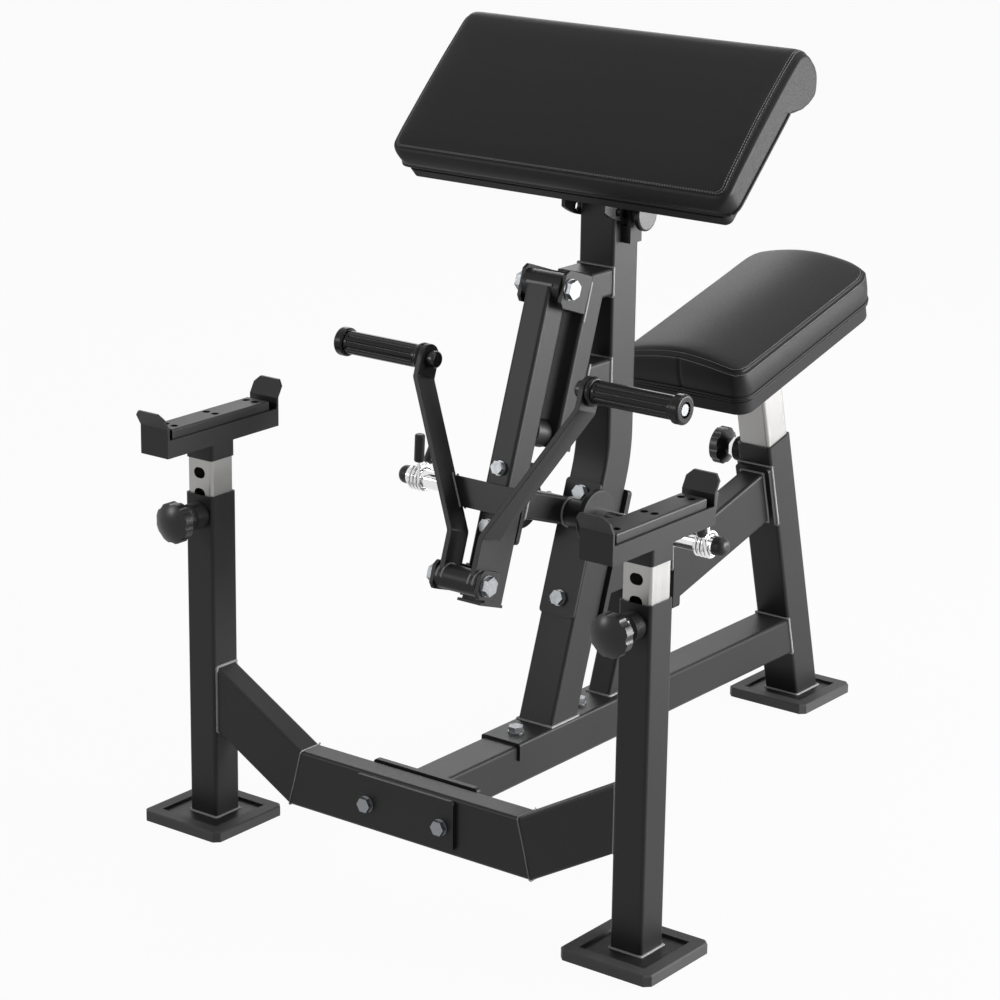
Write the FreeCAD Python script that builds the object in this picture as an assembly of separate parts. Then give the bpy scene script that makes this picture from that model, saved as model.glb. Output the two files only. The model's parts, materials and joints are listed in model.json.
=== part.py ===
"""Plate-loaded preacher curl bench with bar rests, a swinging curl arm, a tilting arm pad and a seat.

Millimetres. +X is to the right seen from the front, +Y runs from the bar rests at the front to the
seat, +Z is up. While modelling, Y = 0 is the plane of the two front posts; every piece is moved at the
end so that the origin lies on the floor under the middle of the bench.
"""
import FreeCAD
import Part
import math
import os

from FreeCAD import Placement, Rotation, Vector

# Fits and clearances
RUNNING_GAP = 0.06
SLIDE_GAP = 0.5
LOOSE_GAP = 0.3
HOLE_GAP = 0.25
WELD_GAP = 0.05
END_FLOAT = 0.5
STOP_GAP = 0.3
NOSE_GAP = 0.4
SMALL = 1e-6

# Tube walls and corners
TUBE_CORNER = 5.0
TUBE_WALL = 3.0
INNER_CORNER_MIN = 0.6
PLATE_CORNER = 6.0

# Feet
FOOT_SIZE = 143.0
FOOT_HEIGHT = 15.0
FOOT_CORNER = 8.0
FOOT_EDGE = 2.0
FOOT_RECESS = 103.0
FOOT_RECESS_DEPTH = 7.0
FOOT_FORWARD = 4.0
BASE_PLATE_SIZE = FOOT_RECESS - 1.0
BASE_PLATE_THICK = 3.0

# Front posts and front beam
POST_SPACING = 736.0
POST_SIZE = 50.0
POST_WALL = 2.0
POST_TOP = 487.0
BEAM_HEIGHT = 84.0
BEAM_DEPTH = 40.0
BEAM_BOTTOM = 65.0
BEAM_MITRE_X = 187.6
BEAM_RISE_DEG = 29.5

# Bolted joint of the front beam and the main beam
CLAMP_PLATE_WIDTH = 170.0
CLAMP_PLATE_HEIGHT = 71.5
CLAMP_PLATE_THICK = 6.0
CLAMP_PLATE_BOTTOM = 74.5
END_PLATE_WIDTH = 180.0
END_PLATE_THICK = 8.0
END_PLATE_OVERHANG = 3.0
CLAMP_BOLT_SPACING = 128.0
CLAMP_BOLT_HEIGHT = 105.7

# Main beam and rear post
MAIN_SIZE = 60.0
MAIN_BOTTOM = 87.5
REAR_POST_SIZE = 60.0
REAR_POST_WALL = 2.5
REAR_LEAN_DEG = 14.5
REAR_POST_TOP_Y = 820.5
REAR_POST_TOP_Z = 441.0
REAR_FOOT_FORWARD = 6.0

# Mast, saddle, brace and bolted plates
MAST_SIZE = 60.0
MAST_LEAN_DEG = 18.5
MAST_BASE_Y = 269.0
MAST_UPRIGHT_Y = 394.0
MAST_BEND_RADIUS = 200.0
MAST_TOP = 928.0
SADDLE_THICK = 4.0
SADDLE_FRONT = 190.0
SADDLE_REAR = 475.0
SADDLE_SKIRT = 25.5
SADDLE_BOLT_FRONT = 225.0
SADDLE_BOLT_REAR = 375.0
BRACE_SIZE = 40.0
BRACE_FRONT = 424.5
FRONT_PLATE_THICK = 4.0
FRONT_PLATE_LOW = 300.0
FRONT_PLATE_HIGH = 486.0
MAST_BOLT_LOW = 324.0
MAST_BOLT_HIGH = 468.0
REAR_PLATE_THICK = 10.0
REAR_PLATE_WIDTH = 72.0
REAR_PLATE_LENGTH = 200.0
REAR_PLATE_LOW = 275.0

# Link between the mast and the rear post
LINK_BOX_HEIGHT = 48.0
LINK_BOX_WIDTH = 60.0
LINK_BOX_BOTTOM = 314.0
LINK_PLATE_THICK = 8.0
LINK_PLATE_Y = 572.0
LINK_PLATE_BOTTOM = 251.0
LINK_PLATE_HEIGHT = 117.0
LINK_PLATE_WIDTH = 66.0
LINK_HEIGHT = 84.0
LINK_WIDTH = 40.0
LINK_POST_TOP = 403.0
LINK_FLANGE_THICK = 10.0
LINK_FLANGE_MARGIN = 8.0
LINK_BOLT_COUNT = 2
LINK_BOLT_EDGE = 21.0
LINK_BOLT_PITCH = 24.0

# Curl arm pivot, stop rail and clevises
PIVOT_Y = 282.0
PIVOT_Z = 785.0
PIVOT_BOLT_R = 8.0
RAIL_WIDTH = 60.0
RAIL_DEPTH = 40.0
RAIL_SETBACK = 54.7
RAIL_BELOW_PIVOT = 217.0
STUB_ABOVE_PIVOT = 10.0
STUB_TOP = PIVOT_Z + STUB_ABOVE_PIVOT
STUB_DEPTH = 40.0
LOWER_STUB_DROP = 119.4
LOWER_STUB_TOP = PIVOT_Z - LOWER_STUB_DROP
CLEVIS_PLATE = 6.0
CLEVIS_BEND = 10.0
CLEVIS_CHAMFER = 7.0
RAIL_CLEVIS_UP = 25.0
RAIL_CLEVIS_DOWN = 28.0
RAIL_CLEVIS_NOSE = 14.5
BUMPER_R = 20.0
BUMPER_DOWN = 199.0
BUMPER_ROUND = 3.0

# Curl arm
SLEEVE_R = 20.0
SLEEVE_HALF = 31.0
ARM_WIDTH = 40.0
ARM_DEPTH = 45.0
ARM_LENGTH = 441.0
ARM_CAP_THICK = 4.0
ARM_CAP_LIP = 7.0
BRACKET_LENGTH = 116.0
BRACKET_THICK = 8.0
BRACKET_DOWN = 299.0
ARM_BOLT_HIGH = 257.0
ARM_BOLT_LOW = 338.0
STUB_BAR = 40.0
AXLE_BACK = 136.5
AXLE_R = 20.0
AXLE_HALF = 59.0
STOP_DISC_R = 40.0
STOP_DISC_THICK = 10.0
STOP_DISC_ROUND = 2.0
WEIGHT_SLEEVE_R = 14.0
WEIGHT_SLEEVE_WALL = 3.0
WEIGHT_SLEEVE_LENGTH = 196.0
SLEEVE_CAP_STEP = 0.6
SLEEVE_CAP_R = WEIGHT_SLEEVE_R - SLEEVE_CAP_STEP
SLEEVE_CAP_LENGTH = 18.0
SLEEVE_CAP_ROUND = 10.0
SLEEVE_PLUG_LENGTH = 12.0

# Handle yoke on the lower end of the arm
YOKE_ABOVE_ARM_END = 26.0
YOKE_DOWN = ARM_LENGTH - YOKE_ABOVE_ARM_END
YOKE_FORWARD = 55.0
YOKE_BOLT_R = 8.0
YOKE_SLEEVE_R = 18.0
YOKE_SLEEVE_HALF = 35.0
YOKE_CLEVIS_HEIGHT = 40.0
YOKE_CLEVIS_NOSE = 17.0
LEVER_WIDTH = 40.0
LEVER_THICK = 8.0
LEVER_OFFSET = 4.0
LEVER_LOW_X = 22.7
LEVER_LOW_BEND = 64.0
LEVER_HIGH_X = 133.0
LEVER_HIGH_BEND = 258.0
LEVER_BEND_ROUND = 8.0
HUB_UP = 285.0
CROSSBAR_UP = 116.0
CROSSBAR_HEIGHT = 40.0
CROSSBAR_DEPTH = 12.0
REST_PAD_THICK = 4.0
REST_PAD_WIDTH = 30.0
REST_PAD_HEIGHT = 30.0

# Hand grips
GRIP_R = 16.5
GRIP_BORE_R = 5.0
GRIP_LENGTH = 150.0
GRIP_FLANGE_R = 20.5
GRIP_FLANGE_THICK = 8.0
GRIP_BULB_LENGTH = 15.0
GRIP_ROUND = 3.5
GRIP_FLUTES = 12
GRIP_FLUTE_R = 2.4
GRIP_FLUTE_DEPTH = 1.3
GRIP_FLUTE_MARGIN = 5.0
GRIP_MOUTH_R = 11.0
GRIP_MOUTH_DEPTH = 6.0
GRIP_HEAD_R = 8.0
GRIP_HEAD_THICK = 4.5
CAP_NUT_R = 12.0
CAP_NUT_LENGTH = 14.0
CAP_NUT_ROUND = 4.0

# Spring collars on the weight sleeves
WIRE_R = 2.25
COIL_BORE_GAP = 1.0
COIL_PITCH = 6.2
COIL_FULL_TURNS = 3
COIL_INSET = 27.0
RIGHT_COLLAR_TURN_DEG = 22.0
LEG_SPLAY_DEG = 20.0
LEG_LENGTH = 66.0
LEG_GRIP_R = 7.5
LEG_GRIP_START = 30.0
LEG_GRIP_LENGTH = 42.0
LEG_GRIP_ROUND = 3.0

# Bar rests
REST_TUBE_SIZE = POST_SIZE - 2 * POST_WALL - 2 * SLIDE_GAP
REST_TUBE_WALL = 2.5
REST_TUBE_BOTTOM = 300.0
TRAY_BOTTOM = 561.0
TRAY_WIDTH = 50.0
TRAY_LENGTH = 226.0
TRAY_CENTRE_Y = 2.0
TRAY_PLATE = 4.0
TRAY_SIDE_TOP = 586.0
TRAY_LIP_BEND = 602.0
TRAY_LIP_TOP = 625.0
TRAY_LIP_LEAN = 13.0
TRAY_LIP_CHAMFER = 8.0
SOCKET_WALL = 1.6
SOCKET_HEIGHT = 23.0
BLOCK_GAP = 1.0
BLOCK_WIDTH = TRAY_WIDTH - 2 * TRAY_PLATE - 2 * BLOCK_GAP
BLOCK_LENGTH = 197.0
BLOCK_TOP = 599.0
BLOCK_ROUND = 3.0
BLOCK_HOLE_R = 5.5
BLOCK_HOLE_DEPTH = 14.0
BLOCK_HOLE_X = 8.0
BLOCK_HOLE_PITCH = 82.0
BLOCK_HOLE_ROWS = 3
HOLE_PITCH = 30.0
HOLE_WIDTH = 20.0
HOLE_HEIGHT = 15.5
REST_HOLES_ABOVE = 2
REST_HOLES_BELOW = 4
SEAT_HOLES_ABOVE = 4
SEAT_HOLES_BELOW = 2

# Pull pins
PIN_R = 6.0
PIN_HEIGHT = 458.0
PIN_COLLAR_R = 18.5
PIN_COLLAR_LENGTH = 20.0
PIN_NUT_FLATS = 28.0
PIN_NUT_LENGTH = 8.0
KNOB_R = 29.0
KNOB_START = 34.0
KNOB_HUB_R = 14.0
KNOB_RIM_START = 42.0
KNOB_RIM_LENGTH = 13.0
KNOB_DOME = 9.0
KNOB_SCALLOPS = 8
KNOB_SCALLOP_R = 11.0
KNOB_SCALLOP_DEPTH = 2.2
SEAT_PIN_BELOW_TOP = 28.0
PAD_KNOB_R = 23.0
PAD_KNOB_START = 9.5
PAD_KNOB_LENGTH = 10.0
PAD_KNOB_ROUND = 3.0
PAD_PIN_COLLAR_R = 13.0
PAD_PIN_COLLAR_LENGTH = 3.0
PAD_PIN_NUT_FLATS = 20.0
PAD_PIN_NUT_LENGTH = 4.0

# Seat
SEAT_TUBE_SIZE = REAR_POST_SIZE - 2 * REAR_POST_WALL - 2 * SLIDE_GAP
SEAT_TUBE_WALL = 2.5
SEAT_TUBE_INSIDE = 190.0
SEAT_TOP_ABOVE_POST = 220.0
SEAT_LENGTH = 390.0
SEAT_WIDTH = 224.0
SEAT_FRONT_RADIUS = 25.0
SEAT_REAR_RADIUS = 50.0
SEAT_BAND = 52.0
SEAT_BULGE = 4.0
SEAT_SEAM_INSET = 3.0
SEAT_CROWN = 16.0
SEAT_CROWN_STEPS = ((16.0, 0.55), (36.0, 0.85), (64.0, 1.0))
SEAT_BOARD_THICK = 19.0
SEAT_BOARD_INSET = 6.0
SEAT_PLATE_THICK = 5.0
SEAT_PLATE_LENGTH = 200.0
SEAT_PLATE_WIDTH = 140.0

# Arm pad and its tilting bracket
PAD_TILT_DEG = 44.4
PAD_BEFORE_HINGE = 150.0
PAD_BELOW_HINGE = 37.0
PAD_HALF_WIDTH = 284.0
PAD_FACE_LENGTH = 240.0
PAD_CROWN = 6.0
PAD_BAND = 44.0
PAD_EDGE_ROUND = 12.0
PAD_ROLL_TOP = 267.0
PAD_ROLL_MID = 32.0
PAD_ROLL_BACK = 80.0
PAD_ROLL_BACK_AT = 234.0
PAD_CREASE_AT = 180.0
PAD_ROLL_REAR_DROP = 10.8
PAD_ROLL_REAR_DRAW = 9.6
PAD_ROLL_UNDER_SHARE = 0.72
PAD_SIDE_DRAW = 6.0
PAD_SIDE_ROUND = 16.0
PAD_SHOULDER_DRAW = 1.5
PAD_SHOULDER_CROWN = 4.2
PAD_BOARD_THICK = 15.0
PAD_BOARD_HALF = 268.0
PAD_BOARD_INSET = 3.0
PAD_BOARD_LENGTH = 175.0
PAD_BOARD_CORNER = 10.0
HINGE_Y = 426.0
HINGE_ABOVE_MAST = 47.0
HINGE_BOLT_R = 6.0
HINGE_SLEEVE_R = 13.0
HEAD_PLATE_THICK = 5.0
HEAD_WEB_DEPTH = 30.0
CHEEK_GAP = 1.0
CHEEK_THICK = 6.0
CHEEK_R = 117.0
CHEEK_SWEEP_DEG = 68.0
CHEEK_BASE_THICK = 4.0
CHEEK_BASE_BELOW = 75.0
CHEEK_BASE_ABOVE = 42.0
CHEEK_BASE_WIDTH = 130.0
CHEEK_HOLE_RADIUS = 106.0
CHEEK_HOLE_STEP_DEG = 9.4
CHEEK_HOLE_COUNT = 5
CARRIER_DEPTH = 27.0
CARRIER_THICK = 6.0
CARRIER_GAP = 1.5
CARRIER_BELOW_HINGE = 147.0
CARRIER_HEIGHT = 55.0
CARRIER_STEP = 6.0

# Fasteners
BOLT_R = 6.0
BOLT_FLATS = 19.0
BOLT_HEAD = 7.5
BOLT_NUT = 10.0
BOLT_TAIL = 3.0
HEX_SIDES = 6
WASHER_SPREAD = 1.22
WASHER_THICK = 1.6
ARM_BOLT_R = 5.0
ARM_BOLT_FLATS = 17.0
PIVOT_FLATS = 24.0
HINGE_FLATS = 19.0

X_AXIS = Vector(1, 0, 0)
Y_AXIS = Vector(0, 1, 0)
Z_AXIS = Vector(0, 0, 1)
FAR = 3000.0

# Places worked out from the sizes above
POST_X = POST_SPACING / 2
POST_FACE = POST_X - POST_SIZE / 2
POST_BASE = FOOT_HEIGHT - FOOT_RECESS_DEPTH + BASE_PLATE_THICK
BEAM_TOP = BEAM_BOTTOM + BEAM_HEIGHT
MAIN_TOP = MAIN_BOTTOM + MAIN_SIZE
MAIN_FRONT = BEAM_DEPTH / 2 + END_PLATE_THICK
SADDLE_TOP = MAIN_TOP + SADDLE_THICK
REAR_LEAN = math.radians(REAR_LEAN_DEG)
REAR_UP = Vector(0, -math.sin(REAR_LEAN), math.cos(REAR_LEAN))
REAR_BACK = Vector(0, math.cos(REAR_LEAN), math.sin(REAR_LEAN))
REAR_CORNER = Vector(0, REAR_POST_TOP_Y, REAR_POST_TOP_Z)
REAR_TOP = REAR_CORNER + REAR_BACK * (REAR_POST_SIZE / 2)
MAST_LEAN = math.radians(MAST_LEAN_DEG)
MAST_UP = Vector(0, math.sin(MAST_LEAN), math.cos(MAST_LEAN))
MAST_BACK = Vector(0, math.cos(MAST_LEAN), -math.sin(MAST_LEAN))
MAST_CORNER = Vector(0, MAST_BASE_Y, SADDLE_TOP)
PIVOT = Vector(0, PIVOT_Y, PIVOT_Z)
HINGE = Vector(0, HINGE_Y, MAST_TOP + HINGE_ABOVE_MAST)
RAIL_CLEVIS_INNER = SLEEVE_HALF + END_FLOAT
YOKE_CLEVIS_INNER = YOKE_SLEEVE_HALF + END_FLOAT
YOKE_PIVOT = Vector(0, -YOKE_FORWARD, -YOKE_DOWN)
ARM_FRONT = -ARM_DEPTH / 2
ARM_REAR = ARM_DEPTH / 2
AXLE = Vector(0, AXLE_BACK, -BRACKET_DOWN)
SLEEVE_START = AXLE_HALF + STOP_DISC_THICK
SLEEVE_END = SLEEVE_START + WEIGHT_SLEEVE_LENGTH
LEVER_OUTER_X = LEVER_HIGH_X + LEVER_THICK
PAD_TILT = math.radians(PAD_TILT_DEG)
PAD_UP = Vector(0, math.cos(PAD_TILT), math.sin(PAD_TILT))
PAD_IN = Vector(0, math.sin(PAD_TILT), -math.cos(PAD_TILT))
PAD_CORNER = HINGE - Vector(0, PAD_BEFORE_HINGE, PAD_BELOW_HINGE)
SEAT_DECK = REAR_TOP + REAR_UP * (SEAT_TOP_ABOVE_POST - SEAT_BAND)
CHEEK_INNER = MAST_SIZE / 2 + CHEEK_GAP
CHEEK_OUTER = CHEEK_INNER + CHEEK_THICK
CARRIER_LOW = HINGE.z - CARRIER_BELOW_HINGE
CARRIER_HIGH = CARRIER_LOW + CARRIER_HEIGHT
ARC_MIDDLE = 1 - math.sqrt(0.5)


def on_line(corner, direction, height):
    """Point at the given height on a slanted line in the middle plane."""
    return corner + direction * ((height - corner.z) / direction.z)


REAR_BASE = on_line(REAR_TOP, REAR_UP, POST_BASE)
REAR_FOOT_Y = REAR_BASE.y - REAR_FOOT_FORWARD
BENCH_FRONT = TRAY_CENTRE_Y - TRAY_LENGTH / 2 - TRAY_LIP_LEAN
BENCH_REAR = REAR_FOOT_Y + FOOT_SIZE / 2
ORIGIN = Vector(0, (BENCH_FRONT + BENCH_REAR) / 2, 0)


# Basic solids

def box(low, high):
    return Part.makeBox(high.x - low.x, high.y - low.y, high.z - low.z, low)


def rod(radius, start, direction, length):
    return Part.makeCylinder(radius, length, start, direction)


def ring(radius, bore, start, direction, length):
    return rod(radius, start, direction, length).cut(rod(bore, start, direction, length))


def rod_between_sides(radius, half, centre):
    """Rod along X, as far to the left as to the right."""
    return rod(radius, centre - X_AXIS * half, X_AXIS, 2 * half)


def hexagon(flats, start, direction, length):
    corner_radius = flats / 2 / math.cos(math.pi / HEX_SIDES)
    points = []
    for index in range(HEX_SIDES + 1):
        angle = 2 * math.pi * index / HEX_SIDES
        points.append(Vector(corner_radius * math.cos(angle), corner_radius * math.sin(angle), 0))
    solid = Part.Face(Part.makePolygon(points)).extrude(Z_AXIS * length)
    solid.Placement = Placement(start, Rotation(Z_AXIS, direction))
    return solid


def rounded_rectangle(width, depth, radius):
    """Closed outline in the XY plane, centred on the origin."""
    edges = []
    ends = []
    centres = ((1, 1), (-1, 1), (-1, -1), (1, -1))
    for index, (side_x, side_y) in enumerate(centres):
        centre = Vector(side_x * (width / 2 - radius), side_y * (depth / 2 - radius), 0)
        points = []
        for turn in (0, 45, 90):
            angle = math.radians(90 * index + turn)
            points.append(centre + Vector(math.cos(angle), math.sin(angle), 0) * radius)
        edges.append(Part.Arc(*points).toShape())
        ends.append((points[0], points[2]))
    for index in range(4):
        edges.append(Part.makeLine(ends[index][1], ends[(index + 1) % 4][0]))
    return Part.Wire(Part.__sortEdges__(edges))


def turn_to(direction):
    """Turn about X that takes +Z to a direction in the YZ plane."""
    return Rotation(X_AXIS, math.degrees(math.atan2(-direction.y, direction.z)))


def tube(width, depth, wall, start, end):
    """Rectangular tube in the YZ plane; the width lies along X."""
    run = end - start
    outer = rounded_rectangle(width, depth, TUBE_CORNER)
    inner_corner = max(TUBE_CORNER - wall, INNER_CORNER_MIN)
    inner = rounded_rectangle(width - 2 * wall, depth - 2 * wall, inner_corner)
    section = Part.Face(outer).cut(Part.Face(inner)).Faces[0]
    solid = section.extrude(Z_AXIS * run.Length)
    solid.Placement = Placement(start, turn_to(run))
    return solid


def trim(solid, point, outward):
    """Cut away everything past a plane, on the side that outward points to."""
    waste = Part.makeBox(2 * FAR, 2 * FAR, FAR, Vector(-FAR, -FAR, 0))
    waste.Placement = Placement(point, Rotation(Z_AXIS, outward))
    return solid.cut(waste)


def side_prism(points, half_width):
    """Solid with its outline given as (y, z) and its width along X."""
    loop = [Vector(-half_width, y, z) for y, z in points]
    loop.append(loop[0])
    return Part.Face(Part.makePolygon(loop)).extrude(X_AXIS * (2 * half_width))


def mirror_x(solid):
    return solid.mirror(Vector(0, 0, 0), X_AXIS)


def both_sides(solid):
    return Part.makeCompound([solid, mirror_x(solid)])


def fillet_where(solid, radius, wanted):
    edges = [edge for edge in solid.Edges if wanted(edge)]
    return solid.makeFillet(radius, edges)


def runs_along(edge, axis):
    if not isinstance(edge.Curve, Part.Line):
        return False
    return abs(abs(edge.Curve.Direction.dot(axis)) - 1) < SMALL


def circle_at(edge, axis, place):
    """True for a circular edge around an axis whose centre has the given place along it."""
    if not isinstance(edge.Curve, Part.Circle):
        return False
    return abs(edge.Curve.Center.dot(axis) - place) < SMALL


def circles_of(solid, radius):
    circles = []
    for edge in solid.Edges:
        if not edge.Degenerated and isinstance(edge.Curve, Part.Circle):
            if abs(edge.Curve.Radius - radius) < SMALL:
                circles.append(edge)
    return circles


def rounded_plate(width, height, thick, corner, centre, direction):
    """Plate with round corners; the width lies along X and the thickness along direction."""
    solid = Part.Face(rounded_rectangle(width, height, corner)).extrude(Z_AXIS * thick)
    solid.Placement = Placement(centre, turn_to(direction))
    return solid


def bolt(radius, flats, seat, direction, grip):
    """Hexagon bolt on a washer, from the washer's seat, through the grip, to its nut."""
    under_head = seat - direction * WASHER_THICK
    head = hexagon(flats, under_head - direction * BOLT_HEAD, direction, BOLT_HEAD)
    washer = rod(WASHER_SPREAD * flats / 2, under_head, direction, WASHER_THICK)
    shank = rod(radius, under_head, direction, WASHER_THICK + grip + BOLT_NUT + BOLT_TAIL)
    nut = hexagon(flats, seat + direction * grip, direction, BOLT_NUT)
    return head.fuse([washer, shank, nut]).removeSplitter()


def bolt_hole(radius, seat, direction, grip):
    reach = BOLT_NUT + BOLT_TAIL
    return rod(radius + HOLE_GAP, seat - direction * reach, direction, grip + 2 * reach)


def lean_arm(solid):
    """Take a piece drawn upright about the arm pivot to its resting place."""
    leaned = solid.copy()
    leaned.Placement = Placement(PIVOT, Rotation(X_AXIS, -MAST_LEAN_DEG)).multiply(leaned.Placement)
    return leaned


def arm_direction(direction):
    return Rotation(X_AXIS, -MAST_LEAN_DEG).multVec(direction)


def arm_point(point):
    return PIVOT + arm_direction(point)


# Feet, posts and beams

def foot(x, y):
    low = Vector(x - FOOT_SIZE / 2, y - FOOT_SIZE / 2, 0)
    high = Vector(x + FOOT_SIZE / 2, y + FOOT_SIZE / 2, FOOT_HEIGHT)
    pad = box(low, high)
    upright = [edge for edge in pad.Edges if runs_along(edge, Z_AXIS)]
    pad = pad.makeChamfer(FOOT_CORNER, upright)
    top = [edge for edge in pad.Edges if edge.BoundBox.ZMin > FOOT_HEIGHT - WELD_GAP]
    pad = pad.makeChamfer(FOOT_EDGE, top)
    recess_floor = FOOT_HEIGHT - FOOT_RECESS_DEPTH
    recess = box(Vector(x - FOOT_RECESS / 2, y - FOOT_RECESS / 2, recess_floor),
                 Vector(x + FOOT_RECESS / 2, y + FOOT_RECESS / 2, FOOT_HEIGHT))
    return pad.cut(recess)


def base_plate(x, y):
    half = BASE_PLATE_SIZE / 2
    floor = FOOT_HEIGHT - FOOT_RECESS_DEPTH
    return box(Vector(x - half, y - half, floor), Vector(x + half, y + half, floor + BASE_PLATE_THICK))


def rubber_feet():
    feet = [foot(POST_X, -FOOT_FORWARD), foot(-POST_X, -FOOT_FORWARD), foot(0, REAR_FOOT_Y)]
    return Part.makeCompound(feet)


def front_post():
    post = tube(POST_SIZE, POST_SIZE, POST_WALL, Vector(POST_X, 0, POST_BASE), Vector(POST_X, 0, POST_TOP))
    pin_hole = rod(PIN_R + LOOSE_GAP, Vector(POST_X, -POST_SIZE, PIN_HEIGHT), Y_AXIS, POST_SIZE)
    post = post.cut(pin_hole)
    return post.fuse(base_plate(POST_X, -FOOT_FORWARD))


def beam_outline(inset):
    """Outline of the dropped front beam, drawn in from the tube's faces by the wall."""
    rise = math.radians(BEAM_RISE_DEG)
    height = BEAM_HEIGHT - 2 * inset
    top_x = BEAM_MITRE_X + inset * math.tan(rise / 2)
    bottom_x = top_x + height * math.tan(rise / 2)
    low = BEAM_BOTTOM + inset
    high = BEAM_TOP - inset
    right = [
        (bottom_x, low),
        (POST_FACE, low + (POST_FACE - bottom_x) * math.tan(rise)),
        (POST_FACE, high + (POST_FACE - top_x) * math.tan(rise)),
        (top_x, high),
    ]
    left = [(-x, z) for x, z in reversed(right)]
    return right + left


def front_plane_solid(points, start_y, depth):
    """Solid with its outline given as (x, z) and its depth along Y."""
    loop = [Vector(x, start_y, z) for x, z in points]
    loop.append(loop[0])
    return Part.Face(Part.makePolygon(loop)).extrude(Y_AXIS * depth)


def front_bolt_seats():
    seat_y = -BEAM_DEPTH / 2 - CLAMP_PLATE_THICK
    seats = []
    for side in (-1, 1):
        seats.append(Vector(side * CLAMP_BOLT_SPACING / 2, seat_y, CLAMP_BOLT_HEIGHT))
    return seats


def front_bolt_grip():
    return CLAMP_PLATE_THICK + BEAM_DEPTH + END_PLATE_THICK


def cut_front_bolts(solid):
    for seat in front_bolt_seats():
        solid = solid.cut(bolt_hole(BOLT_R, seat, Y_AXIS, front_bolt_grip()))
    return solid


def front_beam():
    outer = front_plane_solid(beam_outline(0), -BEAM_DEPTH / 2, BEAM_DEPTH)

    def is_long_edge(edge):
        flat = edge.BoundBox.YLength < WELD_GAP
        return flat and edge.BoundBox.XLength > TUBE_CORNER

    outer = fillet_where(outer, TUBE_CORNER, is_long_edge)
    hollow = front_plane_solid(beam_outline(TUBE_WALL), TUBE_WALL - BEAM_DEPTH / 2,
                               BEAM_DEPTH - 2 * TUBE_WALL)
    return cut_front_bolts(outer.cut(hollow))


def front_clamp_plate():
    middle = Vector(0, -BEAM_DEPTH / 2 - CLAMP_PLATE_THICK, CLAMP_PLATE_BOTTOM + CLAMP_PLATE_HEIGHT / 2)
    plate = rounded_plate(CLAMP_PLATE_WIDTH, CLAMP_PLATE_HEIGHT, CLAMP_PLATE_THICK, PLATE_CORNER, middle,
                          Y_AXIS)
    return cut_front_bolts(plate)


def main_beam():
    """Floor beam with the plate that bolts it to the front beam."""
    height = MAIN_BOTTOM + MAIN_SIZE / 2
    beam = tube(MAIN_SIZE, MAIN_SIZE, TUBE_WALL, Vector(0, MAIN_FRONT, height), Vector(0, FAR / 2, height))
    beam = trim(beam, REAR_CORNER, REAR_BACK)
    for place in (SADDLE_BOLT_FRONT, SADDLE_BOLT_REAR):
        beam = beam.cut(bolt_hole(BOLT_R, Vector(0, place, SADDLE_TOP), -Z_AXIS, MAIN_SIZE))
    plate_low = BEAM_BOTTOM + END_PLATE_OVERHANG
    plate_high = BEAM_TOP + END_PLATE_OVERHANG
    middle = Vector(0, BEAM_DEPTH / 2, (plate_low + plate_high) / 2)
    plate = rounded_plate(END_PLATE_WIDTH, plate_high - plate_low, END_PLATE_THICK, PLATE_CORNER, middle,
                          Y_AXIS)
    return beam.fuse(cut_front_bolts(plate))


def seat_pin_point():
    return REAR_TOP - REAR_UP * SEAT_PIN_BELOW_TOP - X_AXIS * (REAR_POST_SIZE / 2)


def rear_post():
    below_floor = REAR_BASE - REAR_UP * REAR_POST_SIZE
    post = tube(REAR_POST_SIZE, REAR_POST_SIZE, REAR_POST_WALL, below_floor, REAR_TOP)
    post = trim(post, Vector(0, 0, POST_BASE), -Z_AXIS)
    pin_hole = rod(PIN_R + LOOSE_GAP, seat_pin_point() - X_AXIS * PIN_R, X_AXIS, REAR_POST_SIZE / 2)
    return post.cut(pin_hole).fuse(base_plate(0, REAR_FOOT_Y))


# Mast and the link to the rear post

def mast_outline(inset, low, high):
    """Side outline of the bent mast tube, as edges in the middle plane."""
    half_turn = MAST_LEAN / 2
    bend_height = SADDLE_TOP + (MAST_UPRIGHT_Y - MAST_BASE_Y) / math.tan(MAST_LEAN)
    centre_bend = bend_height - MAST_SIZE / 2 * math.tan(half_turn)
    arc_centre = Vector(0, MAST_UPRIGHT_Y + MAST_SIZE / 2 - MAST_BEND_RADIUS,
                        centre_bend + MAST_BEND_RADIUS * math.tan(half_turn))
    front_radius = MAST_BEND_RADIUS - MAST_SIZE / 2 + inset
    rear_radius = MAST_BEND_RADIUS + MAST_SIZE / 2 - inset

    def side(radius):
        top = arc_centre + Y_AXIS * radius
        middle = arc_centre + Vector(0, math.cos(half_turn), -math.sin(half_turn)) * radius
        bottom = arc_centre + MAST_BACK * radius
        return top, middle, bottom

    front_top, front_middle, front_bottom = side(front_radius)
    rear_top, rear_middle, rear_bottom = side(rear_radius)
    front_low = on_line(front_bottom, MAST_UP, low)
    rear_low = on_line(rear_bottom, MAST_UP, low)
    front_high = Vector(0, front_top.y, high)
    rear_high = Vector(0, rear_top.y, high)
    return Part.Wire([
        Part.makeLine(front_low, front_bottom),
        Part.Arc(front_bottom, front_middle, front_top).toShape(),
        Part.makeLine(front_top, front_high),
        Part.makeLine(front_high, rear_high),
        Part.makeLine(rear_high, rear_top),
        Part.Arc(rear_top, rear_middle, rear_bottom).toShape(),
        Part.makeLine(rear_bottom, rear_low),
        Part.makeLine(rear_low, front_low),
    ])


def wire_prism(wire, half_width):
    return Part.Face(wire).extrude(X_AXIS * (2 * half_width)).translated(X_AXIS * -half_width)


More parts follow.
